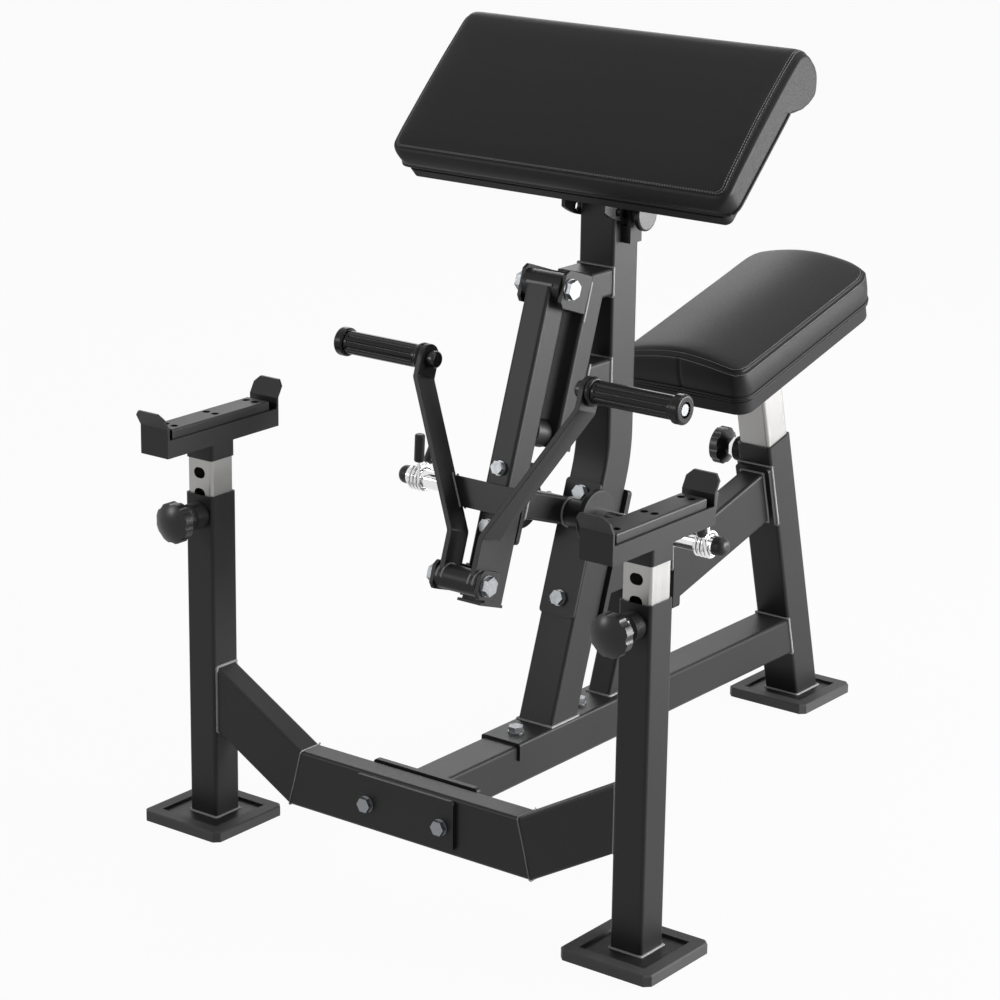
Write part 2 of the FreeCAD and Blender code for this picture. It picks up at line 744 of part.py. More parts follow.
def mast_bolt_seats():
    seats = []
    for height in (MAST_BOLT_LOW, MAST_BOLT_HIGH):
        seats.append(on_line(MAST_CORNER, MAST_UP, height) - MAST_BACK * FRONT_PLATE_THICK)
    return seats


def mast_bolt_grip():
    return FRONT_PLATE_THICK + MAST_SIZE + REAR_PLATE_THICK


def cut_mast_bolts(solid):
    for seat in mast_bolt_seats():
        solid = solid.cut(bolt_hole(BOLT_R, seat, MAST_BACK, mast_bolt_grip()))
    return solid


def mast():
    solid = wire_prism(mast_outline(0, SADDLE_TOP, MAST_TOP), MAST_SIZE / 2)

    def is_long_edge(edge):
        flat = edge.BoundBox.XLength < WELD_GAP
        return flat and edge.BoundBox.ZLength > TUBE_CORNER

    solid = fillet_where(solid, TUBE_CORNER, is_long_edge)
    hollow = wire_prism(mast_outline(TUBE_WALL, SADDLE_TOP, MAST_TOP - TUBE_WALL),
                        MAST_SIZE / 2 - TUBE_WALL)
    return cut_mast_bolts(solid.cut(hollow))


def mast_saddle():
    half = MAIN_SIZE / 2
    low = SADDLE_TOP - SADDLE_SKIRT
    outer = box(Vector(-half - SADDLE_THICK, SADDLE_FRONT, low),
                Vector(half + SADDLE_THICK, SADDLE_REAR, SADDLE_TOP))

    def is_top_corner(edge):
        return runs_along(edge, Y_AXIS) and edge.BoundBox.ZMin > SADDLE_TOP - WELD_GAP

    outer = fillet_where(outer, SADDLE_THICK, is_top_corner)
    saddle = outer.cut(box(Vector(-half, SADDLE_FRONT, low), Vector(half, SADDLE_REAR, MAIN_TOP)))
    for place in (SADDLE_BOLT_FRONT, SADDLE_BOLT_REAR):
        saddle = saddle.cut(bolt_hole(BOLT_R, Vector(0, place, SADDLE_TOP), -Z_AXIS, MAIN_SIZE))
    return saddle


def mast_brace():
    front = Vector(0, BRACE_FRONT, SADDLE_TOP)
    middle = front + MAST_BACK * (BRACE_SIZE / 2)
    start = middle - MAST_UP * BRACE_SIZE
    end = on_line(middle, MAST_UP, LINK_BOX_BOTTOM) + MAST_UP * BRACE_SIZE
    brace = tube(BRACE_SIZE, BRACE_SIZE, TUBE_WALL, start, end)
    brace = trim(brace, Vector(0, 0, SADDLE_TOP), -Z_AXIS)
    return trim(brace, Vector(0, 0, LINK_BOX_BOTTOM), Z_AXIS)


def mast_front_plate():
    low = on_line(MAST_CORNER, MAST_UP, FRONT_PLATE_LOW)
    high = on_line(MAST_CORNER, MAST_UP, FRONT_PLATE_HIGH)
    middle = (low + high) * 0.5 - MAST_BACK * FRONT_PLATE_THICK
    plate = rounded_plate(MAST_SIZE, (high - low).Length, FRONT_PLATE_THICK, PLATE_CORNER, middle, MAST_BACK)
    return cut_mast_bolts(plate)


def link_bracket():
    """Plate on the back of the mast, short box and the plate that takes the link beam."""
    back_corner = MAST_CORNER + MAST_BACK * MAST_SIZE
    low = on_line(back_corner, MAST_UP, REAR_PLATE_LOW)
    middle = low + MAST_UP * (REAR_PLATE_LENGTH / 2)
    plate = rounded_plate(REAR_PLATE_WIDTH, REAR_PLATE_LENGTH, REAR_PLATE_THICK, PLATE_CORNER, middle,
                          MAST_BACK)
    plate = cut_mast_bolts(plate)
    height = LINK_BOX_BOTTOM + LINK_BOX_HEIGHT / 2
    plate_front = LINK_PLATE_Y - LINK_PLATE_THICK
    arm = tube(LINK_BOX_WIDTH, LINK_BOX_HEIGHT, TUBE_WALL, Vector(0, MAST_BASE_Y, height),
               Vector(0, plate_front, height))
    arm = trim(arm, back_corner + MAST_BACK * REAR_PLATE_THICK, -MAST_BACK)
    end_middle = Vector(0, plate_front, LINK_PLATE_BOTTOM + LINK_PLATE_HEIGHT / 2)
    end_plate = rounded_plate(LINK_PLATE_WIDTH, LINK_PLATE_HEIGHT, LINK_PLATE_THICK, PLATE_CORNER,
                              end_middle, Y_AXIS)
    return cut_link_bolts(plate.fuse([arm, end_plate]))


def link_bolt_seats():
    seats = []
    for row in range(LINK_BOLT_COUNT):
        height = LINK_PLATE_BOTTOM + LINK_BOLT_EDGE + row * LINK_BOLT_PITCH
        seats.append(Vector(0, LINK_PLATE_Y - LINK_PLATE_THICK, height))
    return seats


def link_bolt_grip():
    return LINK_PLATE_THICK + LINK_FLANGE_THICK


def cut_link_bolts(solid):
    for seat in link_bolt_seats():
        solid = solid.cut(bolt_hole(ARM_BOLT_R, seat, Y_AXIS, link_bolt_grip()))
    return solid


def link_beam():
    """Rising tube from the bolted plate to the rear post, with a flange at each end."""
    post_top = on_line(REAR_CORNER, REAR_UP, LINK_POST_TOP)
    centre = post_top - REAR_UP * (LINK_HEIGHT / 2)
    flange_face = centre - REAR_BACK * LINK_FLANGE_THICK
    front_face = LINK_PLATE_Y + LINK_FLANGE_THICK
    beam = tube(LINK_WIDTH, LINK_HEIGHT, TUBE_WALL, flange_face - REAR_BACK * FAR, flange_face)
    beam = trim(beam, Vector(0, front_face, 0), -Y_AXIS)
    flange_height = LINK_HEIGHT + 2 * LINK_FLANGE_MARGIN
    rear_flange = rounded_plate(REAR_POST_SIZE, flange_height, LINK_FLANGE_THICK, PLATE_CORNER,
                                flange_face, REAR_BACK)
    front_middle = Vector(0, LINK_PLATE_Y, LINK_PLATE_BOTTOM + LINK_PLATE_HEIGHT / 2)
    front_flange = rounded_plate(LINK_PLATE_WIDTH, LINK_PLATE_HEIGHT, LINK_FLANGE_THICK, PLATE_CORNER,
                                 front_middle, Y_AXIS)
    return beam.fuse([rear_flange, cut_link_bolts(front_flange)])


def frame_bolts():
    bolts = []
    for seat in front_bolt_seats():
        bolts.append(bolt(BOLT_R, BOLT_FLATS, seat, Y_AXIS, front_bolt_grip()))
    for place in (SADDLE_BOLT_FRONT, SADDLE_BOLT_REAR):
        seat = Vector(0, place, SADDLE_TOP)
        bolts.append(bolt(BOLT_R, BOLT_FLATS, seat, -Z_AXIS, MAIN_SIZE + SADDLE_THICK))
    for seat in mast_bolt_seats():
        bolts.append(bolt(BOLT_R, BOLT_FLATS, seat, MAST_BACK, mast_bolt_grip()))
    for seat in link_bolt_seats():
        bolts.append(bolt(ARM_BOLT_R, ARM_BOLT_FLATS, seat, Y_AXIS, link_bolt_grip()))
    return Part.makeCompound(bolts)


# Stop rail and pivot

def rail_line(setback):
    """Point and direction of a line along the rail at a setback from the pivot."""
    return arm_point(Vector(0, setback, 0)), arm_direction(Z_AXIS)


def stop_rail():
    rear_setback = RAIL_SETBACK + RAIL_DEPTH
    start = arm_point(Vector(0, RAIL_SETBACK + RAIL_DEPTH / 2, -RAIL_BELOW_PIVOT))
    rail = tube(RAIL_WIDTH, RAIL_DEPTH, TUBE_WALL, start, start + arm_direction(Z_AXIS) * FAR / 2)
    outer_corner = on_line(*rail_line(RAIL_SETBACK), STUB_TOP)
    inner_corner = on_line(*rail_line(rear_setback), STUB_TOP - STUB_DEPTH)
    along = inner_corner - outer_corner
    return trim(rail, outer_corner, Vector(0, -along.z, along.y))


def rail_stubs():
    """Two short tubes that carry the rail on the front of the mast."""
    rear_point, rear_direction = rail_line(RAIL_SETBACK + RAIL_DEPTH)
    outer_corner = on_line(*rail_line(RAIL_SETBACK), STUB_TOP)
    inner_corner = on_line(rear_point, rear_direction, STUB_TOP - STUB_DEPTH)
    along = inner_corner - outer_corner
    stubs = []
    for top in (STUB_TOP, LOWER_STUB_TOP):
        height = top - STUB_DEPTH / 2
        stubs.append(tube(RAIL_WIDTH, STUB_DEPTH, TUBE_WALL, Vector(0, 0, height),
                          Vector(0, MAST_UPRIGHT_Y, height)))
    stubs[0] = trim(stubs[0], outer_corner, Vector(0, along.z, -along.y))
    stubs[1] = trim(stubs[1], rear_point, arm_direction(-Y_AXIS))
    return Part.makeCompound(stubs)


def clevis(inner, nose, back, low, high, bolt_radius):
    """Bent plate with two ears, drawn about its bolt; the web is at the back."""
    outer = inner + CLEVIS_PLATE
    block = box(Vector(-outer, -nose, low), Vector(outer, back, high))

    def is_back_edge(edge):
        return runs_along(edge, Z_AXIS) and edge.BoundBox.YMin > back - WELD_GAP

    def is_nose_edge(edge):
        return runs_along(edge, X_AXIS) and edge.BoundBox.YMax < WELD_GAP - nose

    block = fillet_where(block, CLEVIS_BEND, is_back_edge)
    slot = box(Vector(-inner, -nose, low), Vector(inner, back - CLEVIS_PLATE, high))
    slot = fillet_where(slot, CLEVIS_BEND - CLEVIS_PLATE,
                        lambda edge: runs_along(edge, Z_AXIS) and edge.BoundBox.YMin > WELD_GAP)
    block = block.makeChamfer(CLEVIS_CHAMFER, [edge for edge in block.Edges if is_nose_edge(edge)])
    hole = rod_between_sides(bolt_radius + HOLE_GAP, outer + CLEVIS_PLATE, Vector(0, 0, 0))
    return block.cut(slot).cut(hole)


def rail_clevis():
    ears = clevis(RAIL_CLEVIS_INNER, RAIL_CLEVIS_NOSE, RAIL_SETBACK, -RAIL_CLEVIS_DOWN, RAIL_CLEVIS_UP,
                  PIVOT_BOLT_R)
    return lean_arm(ears)


def pivot_bolt(radius, half_width):
    """Bolt along X through two ears, drawn about the origin."""
    seat = X_AXIS * half_width
    return bolt(radius, PIVOT_FLATS, seat, -X_AXIS, 2 * half_width)


def arm_pivot_bolt():
    return lean_arm(pivot_bolt(PIVOT_BOLT_R, RAIL_CLEVIS_INNER + CLEVIS_PLATE))


def arm_bumper():
    start = Vector(0, RAIL_SETBACK, -BUMPER_DOWN)
    length = RAIL_SETBACK - ARM_REAR - STOP_GAP
    bumper = rod(BUMPER_R, start, -Y_AXIS, length)
    front = start.y - length
    bumper = fillet_where(bumper, BUMPER_ROUND, lambda edge: circle_at(edge, Y_AXIS, front))
    return lean_arm(bumper)


# Curl arm

def arm_bolt_seats():
    return [Vector(0, ARM_FRONT, -ARM_BOLT_HIGH), Vector(0, ARM_FRONT, -ARM_BOLT_LOW)]


def arm_bolt_grip():
    return ARM_DEPTH + BRACKET_THICK


def cut_arm_bolts(solid):
    for seat in arm_bolt_seats():
        solid = solid.cut(bolt_hole(ARM_BOLT_R, seat, Y_AXIS, arm_bolt_grip()))
    return solid


def arm_tube():
    body = tube(ARM_WIDTH, ARM_DEPTH, TUBE_WALL, Vector(0, 0, -ARM_LENGTH), Vector(0, 0, 0))
    body = body.cut(rod_between_sides(SLEEVE_R + WELD_GAP, SLEEVE_HALF, Vector(0, 0, 0)))
    body = cut_arm_bolts(max(body.Solids, key=lambda solid: solid.Volume))
    cap = box(Vector(-ARM_WIDTH / 2, ARM_FRONT - ARM_CAP_LIP, -ARM_LENGTH - ARM_CAP_THICK),
              Vector(ARM_WIDTH / 2, ARM_REAR, -ARM_LENGTH))
    return lean_arm(body.fuse(cap))


def arm_sleeve():
    start = X_AXIS * -SLEEVE_HALF
    return lean_arm(ring(SLEEVE_R, PIVOT_BOLT_R + RUNNING_GAP, start, X_AXIS, 2 * SLEEVE_HALF))


def arm_bracket():
    """Plate bolted to the back of the arm, with the bar that carries the weight axle."""
    middle = Vector(0, ARM_REAR, -BRACKET_DOWN)
    plate = rounded_plate(ARM_WIDTH, BRACKET_LENGTH, BRACKET_THICK, PLATE_CORNER, middle, Y_AXIS)
    plate = cut_arm_bolts(plate)
    stub = tube(STUB_BAR, STUB_BAR, TUBE_WALL, middle + Y_AXIS * BRACKET_THICK, AXLE)
    stub = stub.cut(rod_between_sides(AXLE_R + WELD_GAP, AXLE_HALF, AXLE))
    stub = max(stub.Solids, key=lambda solid: solid.Volume)
    return lean_arm(plate.fuse(stub))


def arm_bolts():
    bolts = []
    for seat in arm_bolt_seats():
        bolts.append(lean_arm(bolt(ARM_BOLT_R, ARM_BOLT_FLATS, seat, Y_AXIS, arm_bolt_grip())))
    return Part.makeCompound(bolts)


def weight_axle():
    """Cross tube with the two discs that stop the plates."""
    axle = rod_between_sides(AXLE_R, AXLE_HALF, AXLE)
    disc = rod(STOP_DISC_R, AXLE + X_AXIS * AXLE_HALF, X_AXIS, STOP_DISC_THICK)
    disc = disc.makeFillet(STOP_DISC_ROUND, circles_of(disc, STOP_DISC_R))
    return lean_arm(axle.fuse([disc, mirror_x(disc)]))


def weight_sleeves():
    start = AXLE + X_AXIS * SLEEVE_START
    bore = WEIGHT_SLEEVE_R - WEIGHT_SLEEVE_WALL
    sleeve = ring(WEIGHT_SLEEVE_R, bore, start, X_AXIS, WEIGHT_SLEEVE_LENGTH)
    return lean_arm(both_sides(sleeve))


def sleeve_caps():
    start = AXLE + X_AXIS * SLEEVE_END
    cap = rod(SLEEVE_CAP_R, start, X_AXIS, SLEEVE_CAP_LENGTH)
    cap = fillet_where(cap, SLEEVE_CAP_ROUND,
                       lambda edge: circle_at(edge, X_AXIS, SLEEVE_END + SLEEVE_CAP_LENGTH))
    plug_radius = WEIGHT_SLEEVE_R - WEIGHT_SLEEVE_WALL - WELD_GAP
    plug = rod(plug_radius, start - X_AXIS * SLEEVE_PLUG_LENGTH, X_AXIS, SLEEVE_PLUG_LENGTH)
    return lean_arm(both_sides(cap.fuse(plug)))


def arm_clevis():
    back = YOKE_FORWARD + ARM_FRONT
    half = YOKE_CLEVIS_HEIGHT / 2
    ears = clevis(YOKE_CLEVIS_INNER, YOKE_CLEVIS_NOSE, back, -half, half, YOKE_BOLT_R)
    return lean_arm(ears.translated(YOKE_PIVOT))


def yoke_pivot_bolt():
    screw = pivot_bolt(YOKE_BOLT_R, YOKE_CLEVIS_INNER + CLEVIS_PLATE)
    return lean_arm(screw.translated(YOKE_PIVOT))


# Handle yoke

def yoke_sleeve():
    start = YOKE_PIVOT - X_AXIS * YOKE_SLEEVE_HALF
    return lean_arm(ring(YOKE_SLEEVE_R, YOKE_BOLT_R + RUNNING_GAP, start, X_AXIS, 2 * YOKE_SLEEVE_HALF))


def hub_point():
    return YOKE_PIVOT + Vector(0, LEVER_OFFSET, HUB_UP)


def lever():
    """Flat bar that runs up from the sleeve, splays out and ends in a round eye."""
    splay = math.atan2(LEVER_HIGH_X - LEVER_LOW_X, LEVER_HIGH_BEND - LEVER_LOW_BEND)
    drop = LEVER_THICK * math.tan(splay / 2)
    top = HUB_UP + LEVER_WIDTH / 2
    points = [
        (LEVER_LOW_X, 0),
        (LEVER_LOW_X, LEVER_LOW_BEND),
        (LEVER_HIGH_X, LEVER_HIGH_BEND),
        (LEVER_HIGH_X, top),
        (LEVER_OUTER_X, top),
        (LEVER_OUTER_X, LEVER_HIGH_BEND - drop),
        (LEVER_LOW_X + LEVER_THICK, LEVER_LOW_BEND - drop),
        (LEVER_LOW_X + LEVER_THICK, 0),
    ]
    front = LEVER_OFFSET - LEVER_WIDTH / 2
    flat = front_plane_solid(points, front, LEVER_WIDTH)

    def is_bend(edge):
        inner = LEVER_LOW_BEND / 2 < edge.BoundBox.ZMin and edge.BoundBox.ZMax < HUB_UP
        return runs_along(edge, Y_AXIS) and inner

    flat = fillet_where(flat, LEVER_BEND_ROUND, is_bend)
    rear = front + LEVER_WIDTH
    mask = box(Vector(0, front, 0), Vector(FAR, rear, HUB_UP))
    mask = mask.fuse(rod(LEVER_WIDTH / 2, Vector(0, LEVER_OFFSET, HUB_UP), X_AXIS, FAR))
    flat = flat.common(mask)
    flat = flat.cut(rod_between_sides(YOKE_SLEEVE_R + WELD_GAP, YOKE_SLEEVE_HALF, Vector(0, 0, 0)))
    flat = max(flat.Solids, key=lambda solid: solid.Volume)
    hub_hole = rod(GRIP_BORE_R, Vector(0, LEVER_OFFSET, HUB_UP), X_AXIS, FAR)
    return flat.cut(hub_hole).translated(YOKE_PIVOT)


def yoke_levers():
    return lean_arm(both_sides(lever()))


def crossbar_rear():
    return ARM_FRONT - STOP_GAP - REST_PAD_THICK


def yoke_crossbar():
    """Flat cross piece between the splayed levers."""
    middle = YOKE_PIVOT.z + CROSSBAR_UP
    low = middle - CROSSBAR_HEIGHT / 2
    high = middle + CROSSBAR_HEIGHT / 2
    slope = (LEVER_HIGH_X - LEVER_LOW_X) / (LEVER_HIGH_BEND - LEVER_LOW_BEND)
    reach_low = LEVER_LOW_X + (low - YOKE_PIVOT.z - LEVER_LOW_BEND) * slope
    reach_high = LEVER_LOW_X + (high - YOKE_PIVOT.z - LEVER_LOW_BEND) * slope
    points = [(-reach_low, low), (reach_low, low), (reach_high, high), (-reach_high, high)]
    return lean_arm(front_plane_solid(points, crossbar_rear() - CROSSBAR_DEPTH, CROSSBAR_DEPTH))


def yoke_rest_pad():
    middle = Vector(0, crossbar_rear(), YOKE_PIVOT.z + CROSSBAR_UP)
    pad = rounded_plate(REST_PAD_WIDTH, REST_PAD_HEIGHT, REST_PAD_THICK, PLATE_CORNER, middle, Y_AXIS)
    return lean_arm(pad)


def grip_profile():
    """Half section of a grip from the flange at the lever to the bulb with the mouth for the bolt head."""
    bore = GRIP_BORE_R + RUNNING_GAP
    bulb_start = GRIP_LENGTH - GRIP_BULB_LENGTH
    mouth_floor = GRIP_LENGTH - GRIP_MOUTH_DEPTH
    return [
        (0, bore),
        (0, GRIP_FLANGE_R),
        (GRIP_FLANGE_THICK, GRIP_FLANGE_R),
        (GRIP_FLANGE_THICK, GRIP_R),
        (bulb_start, GRIP_R),
        (bulb_start, GRIP_FLANGE_R),
        (GRIP_LENGTH, GRIP_FLANGE_R),
        (GRIP_LENGTH, GRIP_MOUTH_R),
        (mouth_floor, GRIP_MOUTH_R),
        (mouth_floor, bore),
    ]


def revolve_x(points):
    """Turn a closed profile of (along, radius) about the X axis."""
    loop = [Vector(along, 0, radius) for along, radius in points]
    loop.append(loop[0])
    return Part.Face(Part.makePolygon(loop)).revolve(Vector(0, 0, 0), X_AXIS, 360)


def grip_start():
    return hub_point() + X_AXIS * (LEVER_OUTER_X + LOOSE_GAP)


def hand_grip():
    """Grip with rounded ends and lengthwise flutes."""
    grip = revolve_x(grip_profile())
    grip = grip.makeFillet(GRIP_ROUND, circles_of(grip, GRIP_FLANGE_R))
    flute_start = GRIP_FLANGE_THICK + GRIP_FLUTE_MARGIN
    flute_length = GRIP_LENGTH - GRIP_BULB_LENGTH - GRIP_FLUTE_MARGIN - flute_start
    reach = GRIP_R + GRIP_FLUTE_R - GRIP_FLUTE_DEPTH
    flutes = []
    for index in range(GRIP_FLUTES):
        angle = 2 * math.pi * index / GRIP_FLUTES
        base = Vector(flute_start, reach * math.cos(angle), reach * math.sin(angle))
        flutes.append(rod(GRIP_FLUTE_R, base, X_AXIS, flute_length))
    return grip.cut(flutes).translated(grip_start())


def grip_bolts():
    """Long bolts that the grips turn on, fixed in the lever eyes."""
    length = LEVER_THICK + LOOSE_GAP + GRIP_LENGTH - GRIP_MOUTH_DEPTH + LOOSE_GAP
    start = hub_point() + X_AXIS * LEVER_HIGH_X
    shank_radius = GRIP_BORE_R - WELD_GAP
    shank = rod(shank_radius, start, X_AXIS, length)
    head = rod(GRIP_HEAD_R, start + X_AXIS * length, X_AXIS, GRIP_HEAD_THICK)
    return lean_arm(both_sides(shank.fuse(head)))


def grip_cap_nuts():
    start = hub_point() + X_AXIS * (LEVER_HIGH_X - CAP_NUT_LENGTH)
    cap = rod(CAP_NUT_R, start, X_AXIS, CAP_NUT_LENGTH)
    cap = fillet_where(cap, CAP_NUT_ROUND,
                       lambda edge: circle_at(edge, X_AXIS, LEVER_HIGH_X - CAP_NUT_LENGTH))
    return lean_arm(both_sides(cap))


# Spring collars

def arc_from(start, tangent, end):
    """Circular arc that leaves start along a tangent and reaches end."""
    chord = end - start
    along = Vector(chord).normalize()
    side = tangent - along * tangent.dot(along)
    turn = math.atan2(side.Length, tangent.dot(along))
    middle = (start + end) * 0.5 + Vector(side).normalize() * (chord.Length / 2 * math.tan(turn / 2))
    return Part.Arc(start, middle, end)


def biarc(start, start_tangent, end, end_tangent):
    """Two arcs that join two points with the given tangents."""
    chord = end - start
    both = start_tangent + end_tangent
    spread = 2 * (1 - start_tangent.dot(end_tangent))
    lean = chord.dot(both)
    reach = (math.sqrt(lean * lean + spread * chord.dot(chord)) - lean) / spread
    joint = (start + end + (start_tangent - end_tangent) * reach) * 0.5
    first = arc_from(start, start_tangent, joint)
    second = arc_from(end, end_tangent * -1, joint)
    back = Part.Arc(joint, second.value((second.FirstParameter + second.LastParameter) / 2), end)
    return [first, back]


def coil_radius():
    return WEIGHT_SLEEVE_R + COIL_BORE_GAP + WIRE_R


def coil_point(angle, first_angle):
    radius = coil_radius()
    along = COIL_PITCH * (angle - first_angle) / (2 * math.pi)
    return Vector(along, radius * math.cos(angle), radius * math.sin(angle))


def coil_tangent(angle):
    radius = coil_radius()
    along = COIL_PITCH / (2 * math.pi)
    return Vector(along, -radius * math.sin(angle), radius * math.cos(angle)).normalize()


def coil_angles():
    """Quarter turns from the first leg to the second, which both splay upward."""
    first = math.radians(180 + LEG_SPLAY_DEG)
    last = math.radians(360 - LEG_SPLAY_DEG) + 2 * math.pi * COIL_FULL_TURNS
    steps = math.ceil((last - first) / (math.pi / 2))
    return [first + (last - first) * index / steps for index in range(steps + 1)]


def coil_path():
    """Leg, turns and leg as one chain of lines and arcs, with its first turn at X = 0."""
    angles = coil_angles()
    first = angles[0]
    start = coil_point(first, first)
    end = coil_point(angles[-1], first)
    curves = [Part.LineSegment(start - coil_tangent(first) * LEG_LENGTH, start)]
    for low, high in zip(angles, angles[1:]):
        curves += biarc(coil_point(low, first), coil_tangent(low),
                        coil_point(high, first), coil_tangent(high))
    curves.append(Part.LineSegment(end, end + coil_tangent(angles[-1]) * LEG_LENGTH))
    return curves


def coil_self_gap(curves):
    """Least free distance between stretches of the wire that are not neighbours."""
    points = []
    for curve in curves:
        low, high = curve.FirstParameter, curve.LastParameter
        for index in range(24):
            points.append(curve.value(low + (high - low) * index / 24))
    runs = [0.0]
    for before, after in zip(points, points[1:]):
        runs.append(runs[-1] + before.distanceToPoint(after))
    least = FAR
    apart = math.pi * coil_radius()
    for index, point in enumerate(points):
        for other in range(index + 1, len(points)):
            if runs[other] - runs[index] > apart:
                least = min(least, point.distanceToPoint(points[other]))
    return least - 2 * WIRE_R


def collar_place():
    return AXLE + X_AXIS * (SLEEVE_END - COIL_INSET)


def coil_length():
    angles = coil_angles()
    return COIL_PITCH * (angles[-1] - angles[0]) / (2 * math.pi)


def same_hand(solid):
    """Collar for the right side with the hand of the left one, turned forward on its sleeve."""
    moved = mirror_x(solid).translated(X_AXIS * (2 * collar_place().x + coil_length()))
    return moved.rotated(AXLE, X_AXIS, RIGHT_COLLAR_TURN_DEG)


def spring_collar():
    curves = coil_path()
    path = Part.Wire([curve.toShape() for curve in curves])
    start = curves[0].value(curves[0].FirstParameter)
    direction = coil_tangent(coil_angles()[0])
    section = Part.Wire([Part.Circle(start, direction, WIRE_R).toShape()])
    wire = path.makePipeShell([section], True, False)
    print("spring collar: least gap between turns %.2f mm" % coil_self_gap(curves))
    return wire.translated(collar_place())


def leg_grip(end, outward):
    """Soft sleeve with a blind bore over the end of one leg."""
    start = end - outward * (LEG_LENGTH - LEG_GRIP_START)
    sleeve = Part.makeCylinder(LEG_GRIP_R, LEG_GRIP_LENGTH)
    sleeve = sleeve.makeFillet(LEG_GRIP_ROUND,
                               [edge for edge in sleeve.Edges if isinstance(edge.Curve, Part.Circle)])
    sleeve.Placement = Placement(start, Rotation(Z_AXIS, outward))
    bore = rod(WIRE_R + WELD_GAP, start, outward, LEG_LENGTH - LEG_GRIP_START + WELD_GAP)
    return sleeve.cut(bore)


def collar_grips():
    curves = coil_path()
    first_end = curves[0].value(curves[0].FirstParameter)
    last_end = curves[-1].value(curves[-1].LastParameter)
    angles = coil_angles()
    grips = [leg_grip(first_end, coil_tangent(angles[0]) * -1), leg_grip(last_end, coil_tangent(angles[-1]))]
    return Part.makeCompound(grips).translated(collar_place())


# Bar rests

def oblong_hole(centre, across, up, through, depth):
    """Wide hole with round ends, centred on a point and cut along a direction."""
    radius = HOLE_HEIGHT / 2
    offset = across * (HOLE_WIDTH / 2 - radius)
    start = centre - through * (depth / 2)
    near = start - offset
    far = start + offset
    edges = [
        Part.makeLine(near + up * radius, far + up * radius),
        Part.Arc(far + up * radius, far + across * radius, far - up * radius).toShape(),
        Part.makeLine(far - up * radius, near - up * radius),
        Part.Arc(near - up * radius, near - across * radius, near + up * radius).toShape(),
    ]
    return Part.Face(Part.Wire(edges)).extrude(through * depth)


def rest_tube():
    top = Vector(POST_X, 0, TRAY_BOTTOM)
    body = tube(REST_TUBE_SIZE, REST_TUBE_SIZE, REST_TUBE_WALL, Vector(POST_X, 0, REST_TUBE_BOTTOM), top)
    face = Vector(POST_X, -REST_TUBE_SIZE / 2, PIN_HEIGHT)
    for step in range(-REST_HOLES_BELOW, REST_HOLES_ABOVE + 1):
        centre = face + Z_AXIS * (step * HOLE_PITCH)
        body = body.cut(oblong_hole(centre, X_AXIS, Z_AXIS, Y_AXIS, 4 * REST_TUBE_WALL))
    return body


def tray_end(outer_y, outward):
    """Upturned end of a tray with its lip leaning outward."""
    inner_y = outer_y - outward * TRAY_PLATE
    lip = outward * TRAY_LIP_LEAN
    points = [
        (outer_y, TRAY_BOTTOM),
        (outer_y, TRAY_LIP_BEND),
        (outer_y + lip, TRAY_LIP_TOP),
        (inner_y + lip, TRAY_LIP_TOP),
        (inner_y, TRAY_LIP_BEND),
        (inner_y, TRAY_BOTTOM),
    ]
    half = TRAY_WIDTH / 2
    end = side_prism(points, half)
    corner = front_plane_solid([
        (half, TRAY_LIP_TOP),
        (half - TRAY_LIP_CHAMFER, TRAY_LIP_TOP),
        (half, TRAY_LIP_TOP - TRAY_LIP_CHAMFER),
    ], -TRAY_LENGTH, 2 * TRAY_LENGTH)
    return end.cut([corner, mirror_x(corner)])


def rest_tray():
    """Channel with upturned ends, and the socket that holds it on the inner tube."""
    half = TRAY_WIDTH / 2
    front = TRAY_CENTRE_Y - TRAY_LENGTH / 2
    rear = TRAY_CENTRE_Y + TRAY_LENGTH / 2
    channel = box(Vector(-half, front, TRAY_BOTTOM), Vector(half, rear, TRAY_SIDE_TOP))
    channel = channel.cut(box(Vector(TRAY_PLATE - half, front, TRAY_BOTTOM + TRAY_PLATE),
                              Vector(half - TRAY_PLATE, rear, TRAY_SIDE_TOP)))
    tray = channel.fuse([tray_end(front, -1), tray_end(rear, 1)])
    socket_size = REST_TUBE_SIZE + 2 * SOCKET_WALL
    low = TRAY_BOTTOM - SOCKET_HEIGHT
    socket = tube(socket_size, socket_size, SOCKET_WALL - WELD_GAP, Vector(0, 0, low),
                  Vector(0, 0, TRAY_BOTTOM))
    return tray.fuse(socket).translated(X_AXIS * POST_X)


def rest_block():
    """Moulded insert that the bar lies on."""
    low = TRAY_BOTTOM + TRAY_PLATE
    block = box(Vector(-BLOCK_WIDTH / 2, TRAY_CENTRE_Y - BLOCK_LENGTH / 2, low),
                Vector(BLOCK_WIDTH / 2, TRAY_CENTRE_Y + BLOCK_LENGTH / 2, BLOCK_TOP))
    block = fillet_where(block, BLOCK_ROUND, lambda edge: edge.BoundBox.ZMin > BLOCK_TOP - WELD_GAP)
    for row in range(BLOCK_HOLE_ROWS):
        y = TRAY_CENTRE_Y + (row - (BLOCK_HOLE_ROWS - 1) / 2) * BLOCK_HOLE_PITCH
        for side in (-1, 1):
            mouth = Vector(side * BLOCK_HOLE_X, y, BLOCK_TOP)
            block = block.cut(rod(BLOCK_HOLE_R, mouth, -Z_AXIS, BLOCK_HOLE_DEPTH))
    return block.translated(X_AXIS * POST_X)


# Pull pins

def place_pin(solid, base, outward):
    solid.Placement = Placement(base, Rotation(Z_AXIS, outward))
    return solid


def front_pin_base():
    return Vector(POST_X, -POST_SIZE / 2, PIN_HEIGHT)


def pad_pin_base():
    return HINGE - Z_AXIS * CHEEK_HOLE_RADIUS + X_AXIS * carrier_outer()


